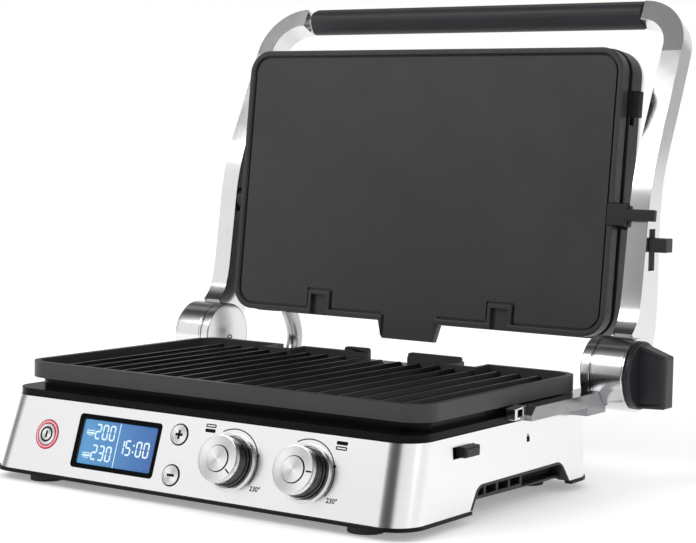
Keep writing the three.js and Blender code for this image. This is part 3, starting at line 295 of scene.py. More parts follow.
def vector_maths(tree, operation, first, second, outcome="Vector"):
    node = tree.nodes.new("ShaderNodeVectorMath")
    node.operation = operation
    wire(tree, first, node.inputs[0])
    if second is not None:
        wire(tree, second, node.inputs[1])
    return node.outputs[outcome]


arm_vector = vector_maths(turned, "SUBTRACT", group_in.outputs["Vector"], group_in.outputs["Centre"])
radius = vector_maths(turned, "LENGTH", arm_vector, None, "Value")
radius_place = turned.nodes.new("ShaderNodeCombineXYZ")
wire(turned, radius, radius_place.inputs["X"])
angle = maths(turned, "ARCTAN2", *[
    vector_maths(turned, "DOT_PRODUCT", arm_vector, group_in.outputs[way], "Value") for way in ("Along", "Across")])
wire(turned, maths(turned, "MULTIPLY", angle, 0.4), radius_place.inputs["Y"])
wire(turned, noise(turned, radius_place.outputs[0], 2600.0, 2.0), group_out.inputs["Rings"])
# Painted highlight: a wave around the middle that lightens the colour under any light.
twice = maths(turned, "COSINE", maths(turned, "MULTIPLY_ADD", angle, 2.0, 1.2))
wire(turned, maths(turned, "MULTIPLY_ADD", twice, 0.5, 0.5), group_out.inputs["Painted_Sweep"])

# %% [markdown]
# Where a corner stands out, handling wears the finish paler, and the same paler line also stands for the highlight
# that an edge catches, so it is partly painted highlight. Pointiness tells how far a point of the mesh stands out,
# and a range picks the corners.

# %% Worn edges and painted edge highlights
edge_wear_and_highlight, group_in, group_out = group(
    "worn_and_highlit_edges",
    [("From", "NodeSocketFloat", 0.52), ("To", "NodeSocketFloat", 0.62)],
    [("Edge", "NodeSocketFloat")])
edge_range = edge_wear_and_highlight.nodes.new("ShaderNodeMapRange")
wire(edge_wear_and_highlight, edge_wear_and_highlight.nodes.new("ShaderNodeNewGeometry").outputs["Pointiness"], edge_range.inputs["Value"])
wire(edge_wear_and_highlight, group_in.outputs["From"], edge_range.inputs["From Min"])
wire(edge_wear_and_highlight, group_in.outputs["To"], edge_range.inputs["From Max"])
wire(edge_wear_and_highlight, edge_range.outputs[0], group_out.inputs["Edge"])


# %% [markdown]
# Each finish is a Principled shader whose colour, roughness and bump come from those
# groups. Four builders cover all of them, so that a finish is one line with its own values.

# %% Material builders
def place_group(tree, made):
    node = tree.nodes.new("ShaderNodeGroup")
    node.node_tree = made
    return node


def between(tree, factor, low, high):
    """A value or colour that goes from low to high as the factor goes from 0 to 1."""
    colour = isinstance(low, tuple)
    node = tree.nodes.new("ShaderNodeMix")
    node.data_type = "RGBA" if colour else "FLOAT"
    first, second = (node.inputs[6], node.inputs[7]) if colour else (node.inputs[2], node.inputs[3])
    first.default_value = (*low, 1) if colour else low
    second.default_value = (*high, 1) if colour else high
    wire(tree, factor, node.inputs[0])
    return node.outputs[2] if colour else node.outputs[0]


def new_material(name, metallic=0.0, specular=0.5):
    made = bpy.data.materials.new(name)
    made.use_nodes = True
    tree = made.node_tree
    shader = tree.nodes["Principled BSDF"]
    shader.inputs["Metallic"].default_value = metallic
    shader.inputs["Specular IOR Level"].default_value = specular
    return made, tree, shader


def bump(tree, shader, height, strength, distance):
    node = tree.nodes.new("ShaderNodeBump")
    node.inputs["Strength"].default_value = strength
    node.inputs["Distance"].default_value = distance
    wire(tree, height, node.inputs["Height"])
    wire(tree, node.outputs["Normal"], shader.inputs["Normal"])


def brushed_metal(name, dark, light, rough, stretch, lift=0.00002):
    """Brushed or spun metal: lines change its colour, its roughness and its surface."""
    made, tree, shader = new_material(name, metallic=1.0)
    lines = place_group(tree, brushed)
    wire(tree, tree.nodes.new("ShaderNodeTexCoord").outputs["Object"], lines.inputs["Vector"])
    lines.inputs["Stretch"].default_value = stretch
    wire(tree, between(tree, lines.outputs["Lines"], dark, light), shader.inputs["Base Color"])
    cloudy = maths(tree, "MULTIPLY_ADD", lines.outputs["Clouds"], 0.3, lines.outputs["Lines"])
    wire(tree, between(tree, cloudy, *rough), shader.inputs["Roughness"])
    bump(tree, shader, lines.outputs["Lines"], 0.6, lift)
    return made


def moulded(name, dark, light, rough, scale, lift, specular=0.5, edge=0.35):
    """Plastic, rubber or a coating: fine grain, faint smears and slightly paler edges, partly wear and partly painted
    highlight.
    """
    made, tree, shader = new_material(name, specular=specular)
    texture = place_group(tree, grain)
    wire(tree, tree.nodes.new("ShaderNodeTexCoord").outputs["Object"], texture.inputs["Vector"])
    texture.inputs["Scale"].default_value = scale
    edges = place_group(tree, edge_wear_and_highlight)
    # The paler edges are partly wear and partly a painted highlight.
    tone = maths(tree, "MULTIPLY_ADD", edges.outputs["Edge"], edge, texture.outputs["Smears"])
    wire(tree, between(tree, tone, dark, light), shader.inputs["Base Color"])
    wire(tree, between(tree, texture.outputs["Smears"], *rough), shader.inputs["Roughness"])
    bump(tree, shader, texture.outputs["Grain"], 0.5, lift)
    return made


def turned_metal(name, centre, dark, light, rough):
    """Metal turned on a lathe: rings around the centre, and a painted highlight that sweeps around it."""
    made, tree, shader = new_material(name, metallic=1.0)
    lines = place_group(tree, turned)
    wire(tree, tree.nodes.new("ShaderNodeTexCoord").outputs["Object"], lines.inputs["Vector"])
    lines.inputs["Centre"].default_value = centre
    lines.inputs["Along"].default_value = panel.to_3x3() @ Vector((0, 1, 0))
    # The sweep is a painted highlight that lightens the colour.
    painted_sweep = maths(tree, "MULTIPLY", lines.outputs["Painted_Sweep"], 0.7)
    tone = maths(tree, "MULTIPLY_ADD", lines.outputs["Rings"], 0.45, painted_sweep)
    wire(tree, between(tree, tone, dark, light), shader.inputs["Base Color"])
    wire(tree, between(tree, lines.outputs["Rings"], *rough), shader.inputs["Roughness"])
    bump(tree, shader, lines.outputs["Rings"], 0.4, 0.00001)
    return made


SCREEN_SPAN = (-0.118, -0.045)


def glowing(name, left, right_colour):
    """A lit display: the colour of its own light changes from left to right."""
    made, tree, shader = new_material(name, specular=0.2)
    place = tree.nodes.new("ShaderNodeSeparateXYZ")
    coordinates = tree.nodes.new("ShaderNodeTexCoord").outputs["Object"]
    wire(tree, coordinates, place.inputs[0])
    share = tree.nodes.new("ShaderNodeMapRange")
    wire(tree, place.outputs["X"], share.inputs["Value"])
    share.inputs["From Min"].default_value, share.inputs["From Max"].default_value = SCREEN_SPAN
    soft = maths(tree, "MULTIPLY_ADD", noise(tree, coordinates, 60.0, 1.0), 0.12, share.outputs[0])
    colour = between(tree, soft, left, right_colour)
    wire(tree, colour, shader.inputs["Emission Color"])
    shader.inputs["Emission Strength"].default_value = 1
    shader.inputs["Base Color"].default_value = (0.01, 0.02, 0.04, 1)
    shader.inputs["Roughness"].default_value = 0.3
    return made


# %% [markdown]
# The metals differ in how dark they are and in how their lines run. The three numbers at
# the end squeeze the noise along x, y and z, so that the lines follow the brushing.

# %% Metal finishes
finish = {name: brushed_metal(*values) for name, values in {
    "wrap": ("brushed_wrap", (0.84, 0.84, 0.85), (0.93, 0.93, 0.94), (0.2, 0.27), (4, 4, 1500), 0.000006),
    "lid_dome": ("brushed_dome", (0.6, 0.6, 0.61), (0.86, 0.86, 0.87), (0.22, 0.36), (5, 5, 1100)),
    "cast": ("polished_casting", (0.70, 0.70, 0.71), (0.80, 0.80, 0.81), (0.1, 0.17), (60, 60, 60), 0.000004),
    "bracket": ("bracket_casting", (0.2, 0.2, 0.21), (0.38, 0.38, 0.39), (0.12, 0.22), (60, 60, 60), 0.000004),
    "tube": ("bent_tube", (0.4, 0.4, 0.41), (0.62, 0.62, 0.63), (0.2, 0.3), (300, 40, 40), 0.000004),
    "hub": ("polished_hub", (0.72, 0.72, 0.73), (0.82, 0.82, 0.83), (0.13, 0.2), (900, 30, 30), 0.000005),
    "skirt": ("fluted_skirt", (0.05, 0.05, 0.055), (0.16, 0.16, 0.165), (0.2, 0.3), (40, 40, 400)),
    "pin": ("turned_pin", (0.4, 0.4, 0.41), (0.62, 0.62, 0.63), (0.3, 0.45), (900, 40, 40)),
    "element": ("heater_sheath", (0.12, 0.1, 0.09), (0.3, 0.27, 0.25), (0.4, 0.6), (90, 90, 90)),
    "reflector": ("reflector_sheet", (0.55, 0.55, 0.56), (0.8, 0.8, 0.8), (0.2, 0.35), (700, 8, 8)),
}.items()}

# %% [markdown]
# The coatings and mouldings are nearly black, and the eye tells them apart by their sheen and grain. Each line has
# the dark and the light tone, the range of roughness, the size and height of the grain, how much it mirrors, and how
# pale its edges are, partly from wear and partly as a painted edge highlight. The ribs' coating is the plate's made
# darker, painted shade, and the crests' coating is made paler, a painted highlight.

# %% Moulded and coated finishes
finish.update({name: moulded(*values) for name, values in {
    "coated": ("plate_coating", (0.023, 0.023, 0.024), (0.040, 0.040, 0.042), (0.34, 0.44), 2600, 0.00002, 0.32),
    # The ribs are cast with the plate and share its coating; this copy is much darker, painted shade for the valleys
    # between them.
    "ribs": ("rib_coating_painted_shade", (0.003, 0.003, 0.003), (0.008, 0.008, 0.009), (0.3, 0.4), 2600, 0.00002, 0.25),
    # A paler copy of the coating for the strips on the rib crests: a painted highlight.
    "crest_highlight_strip": ("crest_highlight_paint", (0.04, 0.04, 0.043), (0.06, 0.06, 0.064), (0.25, 0.35), 2600, 0.00001),
    "smooth": ("smooth_coating", (0.021, 0.021, 0.0225), (0.034, 0.034, 0.0365), (0.3, 0.4), 2600, 0.00001, 0.4),
    "frame": ("frame_moulding", (0.0008, 0.0008, 0.001), (0.002, 0.002, 0.003), (0.3, 0.4), 900, 0.000006, 0.05, 0),
    "trim": ("trim_moulding", (0.003, 0.003, 0.003), (0.008, 0.008, 0.009), (0.34, 0.46), 2200, 0.00003, 0.15),
    "gloss": ("gloss_moulding", (0.002, 0.002, 0.003), (0.006, 0.006, 0.007), (0.14, 0.24), 900, 0.000006, 0.07),
    "satin": ("satin_moulding", (0.008, 0.008, 0.009), (0.022, 0.022, 0.024), (0.34, 0.46), 2200, 0.00003, 0.3),
    "scoop": ("scoop_moulding", (0.020, 0.020, 0.022), (0.036, 0.036, 0.04), (0.4, 0.5), 2200, 0.00003, 0.4),
    "grip": ("grip_moulding", (0.022, 0.022, 0.025), (0.036, 0.036, 0.04), (0.4, 0.5), 2200, 0.00003, 0.3),
    "lever": ("lever_moulding", (0.010, 0.010, 0.013), (0.024, 0.023, 0.028), (0.38, 0.48), 2200, 0.00003, 0.4),
    "rubber": ("foot_rubber", (0.012, 0.012, 0.012), (0.03, 0.03, 0.03), (0.7, 0.85), 1800, 0.00004),
    "ink": ("printed_ink", (0.002, 0.002, 0.002), (0.006, 0.006, 0.006), (0.5, 0.6), 3000, 0.000003, 0.1, 0),
    "red": ("red_ring", (0.50, 0.012, 0.045), (0.66, 0.03, 0.08), (0.3, 0.4), 1500, 0.00001, 0.5, 0.1),
    "pale": ("pale_ring", (0.7, 0.36, 0.42), (0.82, 0.5, 0.56), (0.3, 0.4), 1500, 0.00001, 0.5, 0.1),
    "circuit": ("circuit_board", (0.01, 0.08, 0.03), (0.03, 0.2, 0.08), (0.4, 0.6), 500, 0.0001),
}.items()})

# %% [markdown]
# The screen gives its own light, so no lamp has to reach it behind its window. The keys and knobs are turned metal,
# each with its rings and its painted highlight sweeping around its own middle. These are the middles, in the panel's
# own directions: right along it and up it.

# %% Lit and turned finishes
finish["screen"] = glowing("blue_screen", (0.085, 0.32, 0.60), (0.025, 0.115, 0.37))
finish["digit"] = glowing("lit_digit", (0.70, 0.97, 1.0), (0.80, 0.93, 1.0))
POWER = (-138.5, -27.5)
KEYS = {"plus": (-11.8, -14), "minus": (-11.8, -44)}
KNOB_Y, KNOB_HEIGHT = -28.5, 10
KNOBS = {"left": (38.5, -37, "knob_left"), "right": (104, 0, "knob_right")}
turned_middles = {"power": (*POWER, 0)}
turned_middles.update({name: (*middle, 0) for name, middle in KEYS.items()})
turned_middles.update({node: (knob_x, KNOB_Y, KNOB_HEIGHT) for knob_x, _, node in KNOBS.values()})
# Each turned finish also lightens its colour in a painted highlight that sweeps round its middle.
for name, centre in turned_middles.items():
    finish[f"{name}_metal"] = turned_metal(
        f"{name}_turned", panel @ (Vector(centre) * MM), (0.45, 0.45, 0.46), (0.95, 0.95, 0.96), (0.2, 0.32))

# %% [markdown]
# The window over the screen is so clear that only a faint haze of it is seen. A low Alpha
# that changes a little over the surface gives that haze.

# %% Window
lens_material, lens_tree, lens_shader = new_material("display_lens", specular=0.12)
lens_grain = place_group(lens_tree, grain)
wire(lens_tree, lens_tree.nodes.new("ShaderNodeTexCoord").outputs["Object"], lens_grain.inputs["Vector"])
for socket, clear, hazy in [("Roughness", 0.03, 0.08), ("Alpha", 0.015, 0.025)]:
    wire(lens_tree, between(lens_tree, lens_grain.outputs["Smears"], clear, hazy), lens_shader.inputs[socket])
lens_shader.inputs["Base Color"].default_value = (0.9, 0.95, 1, 1)
finish["lens"] = lens_material
print(len(finish), "finishes")


# %% [markdown]
# ## Working by hand
# Every piece below starts as a plain block or a turned blank and is then worked, as at a
# bench: faces are inset and extruded, edges are rounded, and holes are carved. It could be
# drawn point by point instead, but the bench way keeps each shape in words that a maker
# knows. An operator works on all that is selected, so these helpers select by place.

# %% Selecting
def take(piece):
    """Only this piece is selected, in object mode."""
    if bpy.context.object and bpy.context.object.mode != "OBJECT":
        bpy.ops.object.mode_set(mode="OBJECT")
    bpy.ops.object.select_all(action="DESELECT")
    piece.select_set(True)
    bpy.context.view_layer.objects.active = piece


def pick(piece, faces=None, edges=None, points=None):
    """Edit mode, with the faces, edges or points selected for which the test is true."""
    take(piece)
    mesh = piece.data
    bpy.context.tool_settings.mesh_select_mode = (points is not None, edges is not None, faces is not None)
    bpy.ops.object.mode_set(mode="EDIT")
    bpy.ops.mesh.select_all(action="DESELECT")
    bpy.ops.object.mode_set(mode="OBJECT")
    if faces:
        for face in mesh.polygons:
            face.select = bool(faces(face.center / MM, face.normal))
    elif edges:
        for edge in mesh.edges:
            first, second = (mesh.vertices[index].co / MM for index in edge.vertices)
            edge.select = bool(edges(first, second))
    else:
        for point in mesh.vertices:
            point.select = bool(points(point.co / MM))
    bpy.ops.object.mode_set(mode="EDIT")


def done():
    bpy.ops.object.mode_set(mode="OBJECT")
    return bpy.context.object


def is_top(_, normal):
    return normal.z > 0.9


def upright(first, second):
    return (first - second).xy.length < 0.01


# %% [markdown]
# Blanks are the stock that pieces are cut from. Their sizes are in millimetres, and their
# place is put into the mesh at once, so that the object itself stays at the origin.

# %% Blanks
def settle(piece, name):
    """The piece gets its name, and its place goes into its mesh."""
    piece.name = name
    piece.data.name = name
    take(piece)
    bpy.ops.object.transform_apply(location=True, rotation=True, scale=True)
    return piece


def block(name, low, high):
    """A box between two opposite corners, in millimetres."""
    low, high = Vector(low) * MM, Vector(high) * MM
    bpy.ops.mesh.primitive_cube_add(size=1, location=(low + high) / 2)
    piece = bpy.context.object
    piece.scale = high - low
    return settle(piece, name)


def disc(name, radius, low, high, middle=(0, 0), sides=72):
    """A round blank that stands up from low to high, in millimetres."""
    bpy.ops.mesh.primitive_cylinder_add(
        vertices=sides, radius=radius * MM, depth=(high - low) * MM,
        location=(middle[0] * MM, middle[1] * MM, (low + high) / 2 * MM))
    return settle(bpy.context.object, name)


def lying(piece, x, y, z):
    """Turns a standing piece to lie along X, about a point in millimetres."""
    turn = Matrix.Translation(Vector((x, y, z)) * MM) @ Matrix.Rotation(math.pi / 2, 4, "Y")
    piece.data.transform(turn)
    return piece


# %% [markdown]
# These are the tools of the bench. The carving tools are thrown away after use, and the
# last step, softening, rounds every sharp edge, because an edge is seen by its highlight.

# %% Shaping
def round_edges(piece, edges, radius, segments=6):
    pick(piece, edges=edges)
    bpy.ops.mesh.bevel(offset=radius * MM, segments=segments, affect="EDGES")
    return done()


def slab(name, low, high, corner, segments=12):
    """A block with its four upright edges rounded."""
    return round_edges(block(name, low, high), upright, corner, segments)


def raise_faces(piece, faces, height, inset=0.0):
    """Insets the chosen faces and pushes them out, or in where the height is negative."""
    pick(piece, faces=faces)
    if inset:
        bpy.ops.mesh.inset(thickness=inset * MM, use_even_offset=True)
    if height:
        bpy.ops.mesh.extrude_region_shrink_fatten(
            TRANSFORM_OT_shrink_fatten={"value": height * MM})
    return done()


def resize(piece, points, scale, middle):
    pick(piece, points=points)
    bpy.ops.transform.resize(value=scale, center_override=Vector(middle) * MM)
    return done()


def apply_modifier(piece, kind, **settings):
    take(piece)
    modifier = piece.modifiers.new(kind.lower(), kind)
    for key, value in settings.items():
        setattr(modifier, key, value)
    bpy.ops.object.modifier_apply(modifier=modifier.name)
    return piece


def carve(piece, *tools, operation="DIFFERENCE"):
    """Cuts each tool out of the piece, or joins it on, and throws the tool away."""
    for tool in tools:
        apply_modifier(piece, "BOOLEAN", object=tool, operation=operation, solver="EXACT")
        bpy.data.objects.remove(tool)
    return piece


def weld(piece, *others):
    return carve(piece, *others, operation="UNION")


def soften(piece, width, segments=2, sharp=30):
    """Rounds every edge that is sharper than an angle, then shades the piece smooth."""
    apply_modifier(piece, "BEVEL", width=width * MM, segments=segments, limit_method="ANGLE",
                   angle_limit=math.radians(sharp), use_clamp_overlap=True)
    return piece


def twin(piece, name, matrix):
    """A copy with its own mesh, moved by a matrix."""
    other = bpy.data.objects.new(name, piece.data.copy())
    scene.collection.objects.link(other)
    other.data.transform(matrix)
    if matrix.determinant() < 0:
        other.data.flip_normals()
    return other


def joined(name, pieces):
    """Makes one object of several that don't touch."""
    take(pieces[0])
    for piece in pieces[1:]:
        piece.select_set(True)
    bpy.ops.object.join()
    return settle(bpy.context.object, name)


def right_and_left(name, low, high):
    """Two equal blocks, one on each side. The corners are those of the right one."""
    return [block(name, (min(low[0] * s, high[0] * s), *low[1:]), (max(low[0] * s, high[0] * s), *high[1:]))
            for s in (1, -1)]


mirror_x = Matrix.Scale(-1, 4, (1, 0, 0))
SIDES = {"right": Matrix.Identity(4), "left": mirror_x}


# %% [markdown]
# A finished piece is put in its place, shaded and given its finish. Then it is told which moving body carries it, and
# the plain nodes of the frame that it takes the place of are hidden.

# %% Fitting a piece
def fit(piece, body, finish_name, replaces=(), place=None, smooth=32):
    """Puts a finished piece in the frame: its place, finish, body and the node it stands for."""
    if place is not None:
        piece.data.transform(place)
    take(piece)
    bpy.ops.object.shade_smooth_by_angle(angle=math.radians(smooth))
    apply_modifier(piece, "WEIGHTED_NORMAL", keep_sharp=True, weight=90)
    piece.data.materials.clear()
    piece.data.materials.append(finish[finish_name])
    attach(piece, body)
    if replaces:
        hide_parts(*replaces)
    print(piece.name, len(piece.data.polygons), "faces on", body)
    return piece


# %% [markdown]
# ## The lower plate
# A cast pan with a rounded rim, two notches for the hands at the back, two low lips and a
# tongue over which fat runs off. A subdivided block could be pulled into this shape, but
# flat castings stay flatter as a slab: its top is inset and pushed down, and what stands
# up is welded on.

# %% Lower plate: pan
half_depth = PLATE["depth"] / 2
floor_z, rim_z = 80, 87.9
RIM_WIDTH, NOTCH_HALF, NOTCH_WALL = 5, 11, 3.5
pan = slab("ribbed_plate", (-PLATE["side"], -half_depth, PLATE["low"]), (PLATE["side"], half_depth, rim_z),
           PLATE["corner"])
raise_faces(pan, is_top, floor_z - rim_z, RIM_WIDTH)
for notch_x in NOTCHES:
    pad_half = NOTCH_HALF + NOTCH_WALL
    weld(pan, block("pad", (notch_x - pad_half, half_depth - 24.5, 77),
                    (notch_x + pad_half, half_depth - 1, rim_z - 0.2)))
    carve(pan, block("hole", (notch_x - NOTCH_HALF, half_depth - 21, 70), (notch_x + NOTCH_HALF, half_depth + 5, 95)))
carve(pan, block("spout_gap", (-12, half_depth - 6, floor_z), (27, half_depth + 2, 95)))
tongue = block("tongue", (-29, half_depth - 2, PLATE["low"]), (33, half_depth + 15.7, floor_z))
resize(tongue, lambda p: p.y > half_depth + 1, (0.84, 1, 1), (2, 0, 0))
weld(pan, tongue)
for start, end in [(-36, -12), (27, 77)]:
    lip = block("lip", (start, half_depth - 4, rim_z - 3), (end, half_depth - 0.01, rim_z + 3.5))
    round_edges(lip, lambda a, b: a.z > rim_z and b.z > rim_z and abs(a.x - b.x) < 1, 2.4, 4)
    weld(pan, lip)
soften(pan, 1.5, 4, 40)

# %% [markdown]
# Eighteen ribs taper to a narrow crest. A thin paler strip lies on each crest: a painted highlight, the sheen that
# the crest would catch. One rib and one strip are made, and each place gets a copy of both with its own mesh.

# %% Lower plate: ribs
RIBS = {"count": 18, "first": -156.145, "step": 18.37, "half": 2.5, "reach": 102.5, "top": 85.2}
CREST_HIGHLIGHT = {"half": 0.75, "reach": 96.5, "deep": 0.3, "proud": 0.03}
rib = block("rib", (-RIBS["half"], -RIBS["reach"], floor_z - 0.5), (RIBS["half"], RIBS["reach"], RIBS["top"]))
resize(rib, lambda p: p.z > floor_z + 1, (0.44, 0.965, 1), (0, 0, RIBS["top"]))
soften(rib, 0.7, 3, 30)
crest_highlight_strip = block("crest_highlight_strip", (-CREST_HIGHLIGHT["half"], -CREST_HIGHLIGHT["reach"], RIBS["top"] - CREST_HIGHLIGHT["deep"]),
              (CREST_HIGHLIGHT["half"], CREST_HIGHLIGHT["reach"], RIBS["top"] + CREST_HIGHLIGHT["proud"]))
soften(crest_highlight_strip, 0.1)
rib_steps = [Matrix.Translation(((RIBS["first"] + i * RIBS["step"]) * MM, 0, 0)) for i in range(RIBS["count"])]
ribs = [twin(rib, f"rib_{i}", step) for i, step in enumerate(rib_steps)]
crest_highlights = [twin(crest_highlight_strip, f"crest_{i}", step) for i, step in enumerate(rib_steps)]
bpy.data.objects.remove(rib)
bpy.data.objects.remove(crest_highlight_strip)
fit(pan, "lower_plate", "coated", ["lower_grill_plate"], drawing)
fit(joined("plate_ribs", ribs), "lower_plate", "ribs", place=drawing)
fit(joined("rib_crest_highlights", crest_highlights), "lower_plate", "crest_highlight_strip", place=drawing)

# %% [markdown]
# ## The upper plate
# The same casting, turned to stand up, but its cooking side is smooth. A thin rim stands
# around the face and around two small seats at its lower edge, and the face runs out over
# a tongue. It is worked lying flat, which keeps the numbers simple, and is stood up last.
# Simple parts are rounded before they are carved: a carved mesh with rounded edges inside
# it can fail to be cut again.

# %% Upper plate
face_plate = slab("flat_plate", (-PLATE["side"], 0, -PLATE["thick"]), (PLATE["side"], PLATE["depth"], 0),
                  PLATE["corner"])
raise_faces(face_plate, is_top, -2, 4.5)
soften(face_plate, 1.0, 3, 40)
for notch_x in NOTCHES:
    pad = block("pad", (notch_x - 11.4, 1, -9), (notch_x + 11.4, 20.6, -0.2))
    weld(face_plate, soften(pad, 0.6, 3))
    carve(face_plate, block("seat", (notch_x - 8.2, -5, -4.2), (notch_x + 8.2, 17.2, 5)))
carve(face_plate, block("lug_room", (179.4, 89.1, -20), (200, 107.4, 5)),
      slab("pocket", (-180, 25, -20), (180, 226, -6.5), 16))
runner = block("runner", (-29, -15.7, -7), (33, 3, -0.01))
resize(runner, lambda p: p.y < 0, (0.84, 1, 1), (2, 0, 0))
weld(face_plate, soften(runner, 0.6, 3))
carve(face_plate, block("runner_way", (-24.5, -20, -1.95), (28.5, 5.5, 5)))

# %% [markdown]
# A fine groove runs along the inside of the rim and around both seats. It is carved with
# the plate's own outline, made smaller twice, so it keeps its distance from the edge.

# %% Upper plate: groove
GROOVE_LOW = -3.8
GROOVE_FROM, GROOVE_TO = 4.9, 6.5


def framed(name, inset, low, high):
    """The plate's outline as a slab, smaller by the inset."""
    return slab(name, (-PLATE["side"] + inset, inset, low), (PLATE["side"] - inset, PLATE["depth"] - inset, high),
                PLATE["corner"] - inset)


groove = framed("groove", GROOVE_FROM, GROOVE_LOW, 1)
carve(groove, framed("inside", GROOVE_TO, -6, 3), block("way", (-26, 0, -6), (30, 12, 3)),
      *[block("pad_room", (x - 11.8, 0, -6), (x + 11.8, 12, 3)) for x in NOTCHES])
carve(face_plate, groove)
for notch_x in NOTCHES:
    around_pad = block("around_pad", (notch_x - 13.3, 5, GROOVE_LOW - 0.1), (notch_x + 13.3, 22.6, 1))
    carve(around_pad, block("pad_room", (notch_x - 11.7, 0, -6), (notch_x + 11.7, 20.9, 3)))
    carve(face_plate, around_pad)
print("upper plate", len(face_plate.data.polygons), "faces")
fit(face_plate, "upper_plate", "smooth", ["upper_flat_plate"], upper)

# %% [markdown]
# ## The display
# A black frame with rounded corners stands just proud of the steel, and behind its window
# glows a blue screen. The frame is a slab with a smaller slab cut out of it, so the width
# of the frame is the same all round.

# %% Display frame and screen
LEFT, RIGHT, LOW, HIGH = -109, -29, -48.7, -8.1
frame_ring = slab("display_frame", (LEFT, LOW, -3), (RIGHT, HIGH, 0.3), 3, 6)
FRAME_WIDTH = 3.4
carve(frame_ring, slab("window", (LEFT + FRAME_WIDTH, LOW + FRAME_WIDTH, -5),
                       (RIGHT - FRAME_WIDTH, HIGH - FRAME_WIDTH, 5), 1.5, 4))
soften(frame_ring, 0.45, 3)
fit(frame_ring, "base", "frame", ["display_bezel"], panel)
screen = block("lcd_panel", (-107.3, -47, -11.7), (-30.7, -9.8, -3.35))
raise_faces(screen, is_top, 0.05, 0.6)
soften(screen, 0.3)
fit(screen, "base", "screen", ["lcd_module"], panel)

# %% [markdown]
# Figures of this kind are made of seven bars, of which some are lit. One six-sided bar is
# made, and each lit bar is a copy of it. That is the way of the real display, and it needs
# no lettering.

# %% One bar, and which bars each figure lights
SCREEN_Z, LIT_HEIGHT = -3.3, 0.06
SEGMENT = {"long": 4.9, "thick": 1.3, "wide": 5.6, "tall": 11.8}
segment = block("segment", (-SEGMENT["long"] / 2, -SEGMENT["thick"] / 2, 0),
                (SEGMENT["long"] / 2, SEGMENT["thick"] / 2, LIT_HEIGHT))
pick(segment, edges=upright)
bpy.ops.mesh.bevel(offset=SEGMENT["thick"] * 0.45 * MM, segments=1, affect="EDGES")
done()
SEGMENT_PLACES = {
    "a": (0, 1, 0), "b": (1, 0.5, 90), "c": (1, -0.5, 90), "d": (0, -1, 0), "e": (-1, -0.5, 90),
    "f": (-1, 0.5, 90), "g": (0, 0, 0)}
FIGURES = {"0": "abcdef", "1": "bc", "2": "abged", "3": "abgcd", "5": "afgcd"}


def figure(digit, x, y):
    """The lit bars of one digit, around its middle."""
    half_wide = (SEGMENT["wide"] - SEGMENT["thick"]) / 2
    half_tall = (SEGMENT["tall"] - SEGMENT["thick"]) / 2
    bars = []
    for key in FIGURES[digit]:
        across, along, turned = SEGMENT_PLACES[key]
        place = Matrix.Translation(Vector((x + across * half_wide, y + along * half_tall, SCREEN_Z)) * MM)
        bars.append(twin(segment, "bar", place @ Matrix.Rotation(math.radians(turned), 4, "Z")
                         @ Matrix.Diagonal((1 if turned else 0.86, 1, 1, 1))))
    return bars


# %% Figures and signs on the screen
lit = []
for word, middle_y in [("200", -19.8), ("230", -35.6)]:
    for index, digit in enumerate(word):
        lit += figure(digit, -84.4 + (index - 1) * 7, middle_y)
for digit, x in zip("1500", (-66.2, -59.8, -49.4, -42.3)):
    lit += figure(digit, x, -28.8)
lit_bars = [("colon", -55.2, -53.8, y - 0.7, y + 0.7) for y in (-26.4, -31.4)]
lit_bars.append(("divider", -71.2, -70.5, LOW + 3.6, HIGH - 3.6))
for y in (-20.6, -37.6):
    lit_bars += [("sign_high", -102.6, -94.6, y + 0.6, y + 1.3), ("sign_low", -102.6, -94.6, y - 1.6, y - 0.2),
                 ("sign_foot", -101.2, -96, y - 2.8, y - 2.3)]
lit += [block(name, (from_x, from_y, SCREEN_Z), (to_x, to_y, SCREEN_Z + LIT_HEIGHT))
        for name, from_x, to_x, from_y, to_y in lit_bars]
bpy.data.objects.remove(segment)
fit(joined("lit_figures", lit), "base", "digit", place=panel)


# %% [markdown]
# ## Keys
# The round keys are turned: a polished rim around a slightly sunken face. The power key
# is flat and sits in a ring of red plastic with a paler band. Each starts as a disc, which
# is the shape that a lathe starts from too, and its sign is a thin raised print.

# %% Rings and keys
def ring(name, outer, inner, low, high, middle, sides=72):
    made = disc(name, outer, low, high, middle, sides)
    return carve(made, disc("bore", inner, low - 1, high + 1, middle, sides))


surround = ring("power_surround", 11.2, 8.5, -3, 0.45, POWER)
soften(surround, 0.25)
fit(surround, "base", "red", ["power_ring"], panel)
fit(ring("power_band", 10.2, 9.2, 0.45, 0.5, POWER), "base", "pale", place=panel)

power_key = disc("power_key", 8.2, -7.7, 0.9, POWER)
soften(power_key, 0.5, 3)
fit(power_key, "power_button", "power_metal", ["power_button"], panel)
symbol = ring("power_symbol", 6.0, 4.5, 0.9, 0.95, POWER, 48)
stroke = block("stroke", (POWER[0] - 0.9, POWER[1] - 2.6, 0.9), (POWER[0] + 0.9, POWER[1] + 2.6, 0.95))
fit(joined("power_symbol", [symbol, stroke]), "power_button", "ink", place=panel)

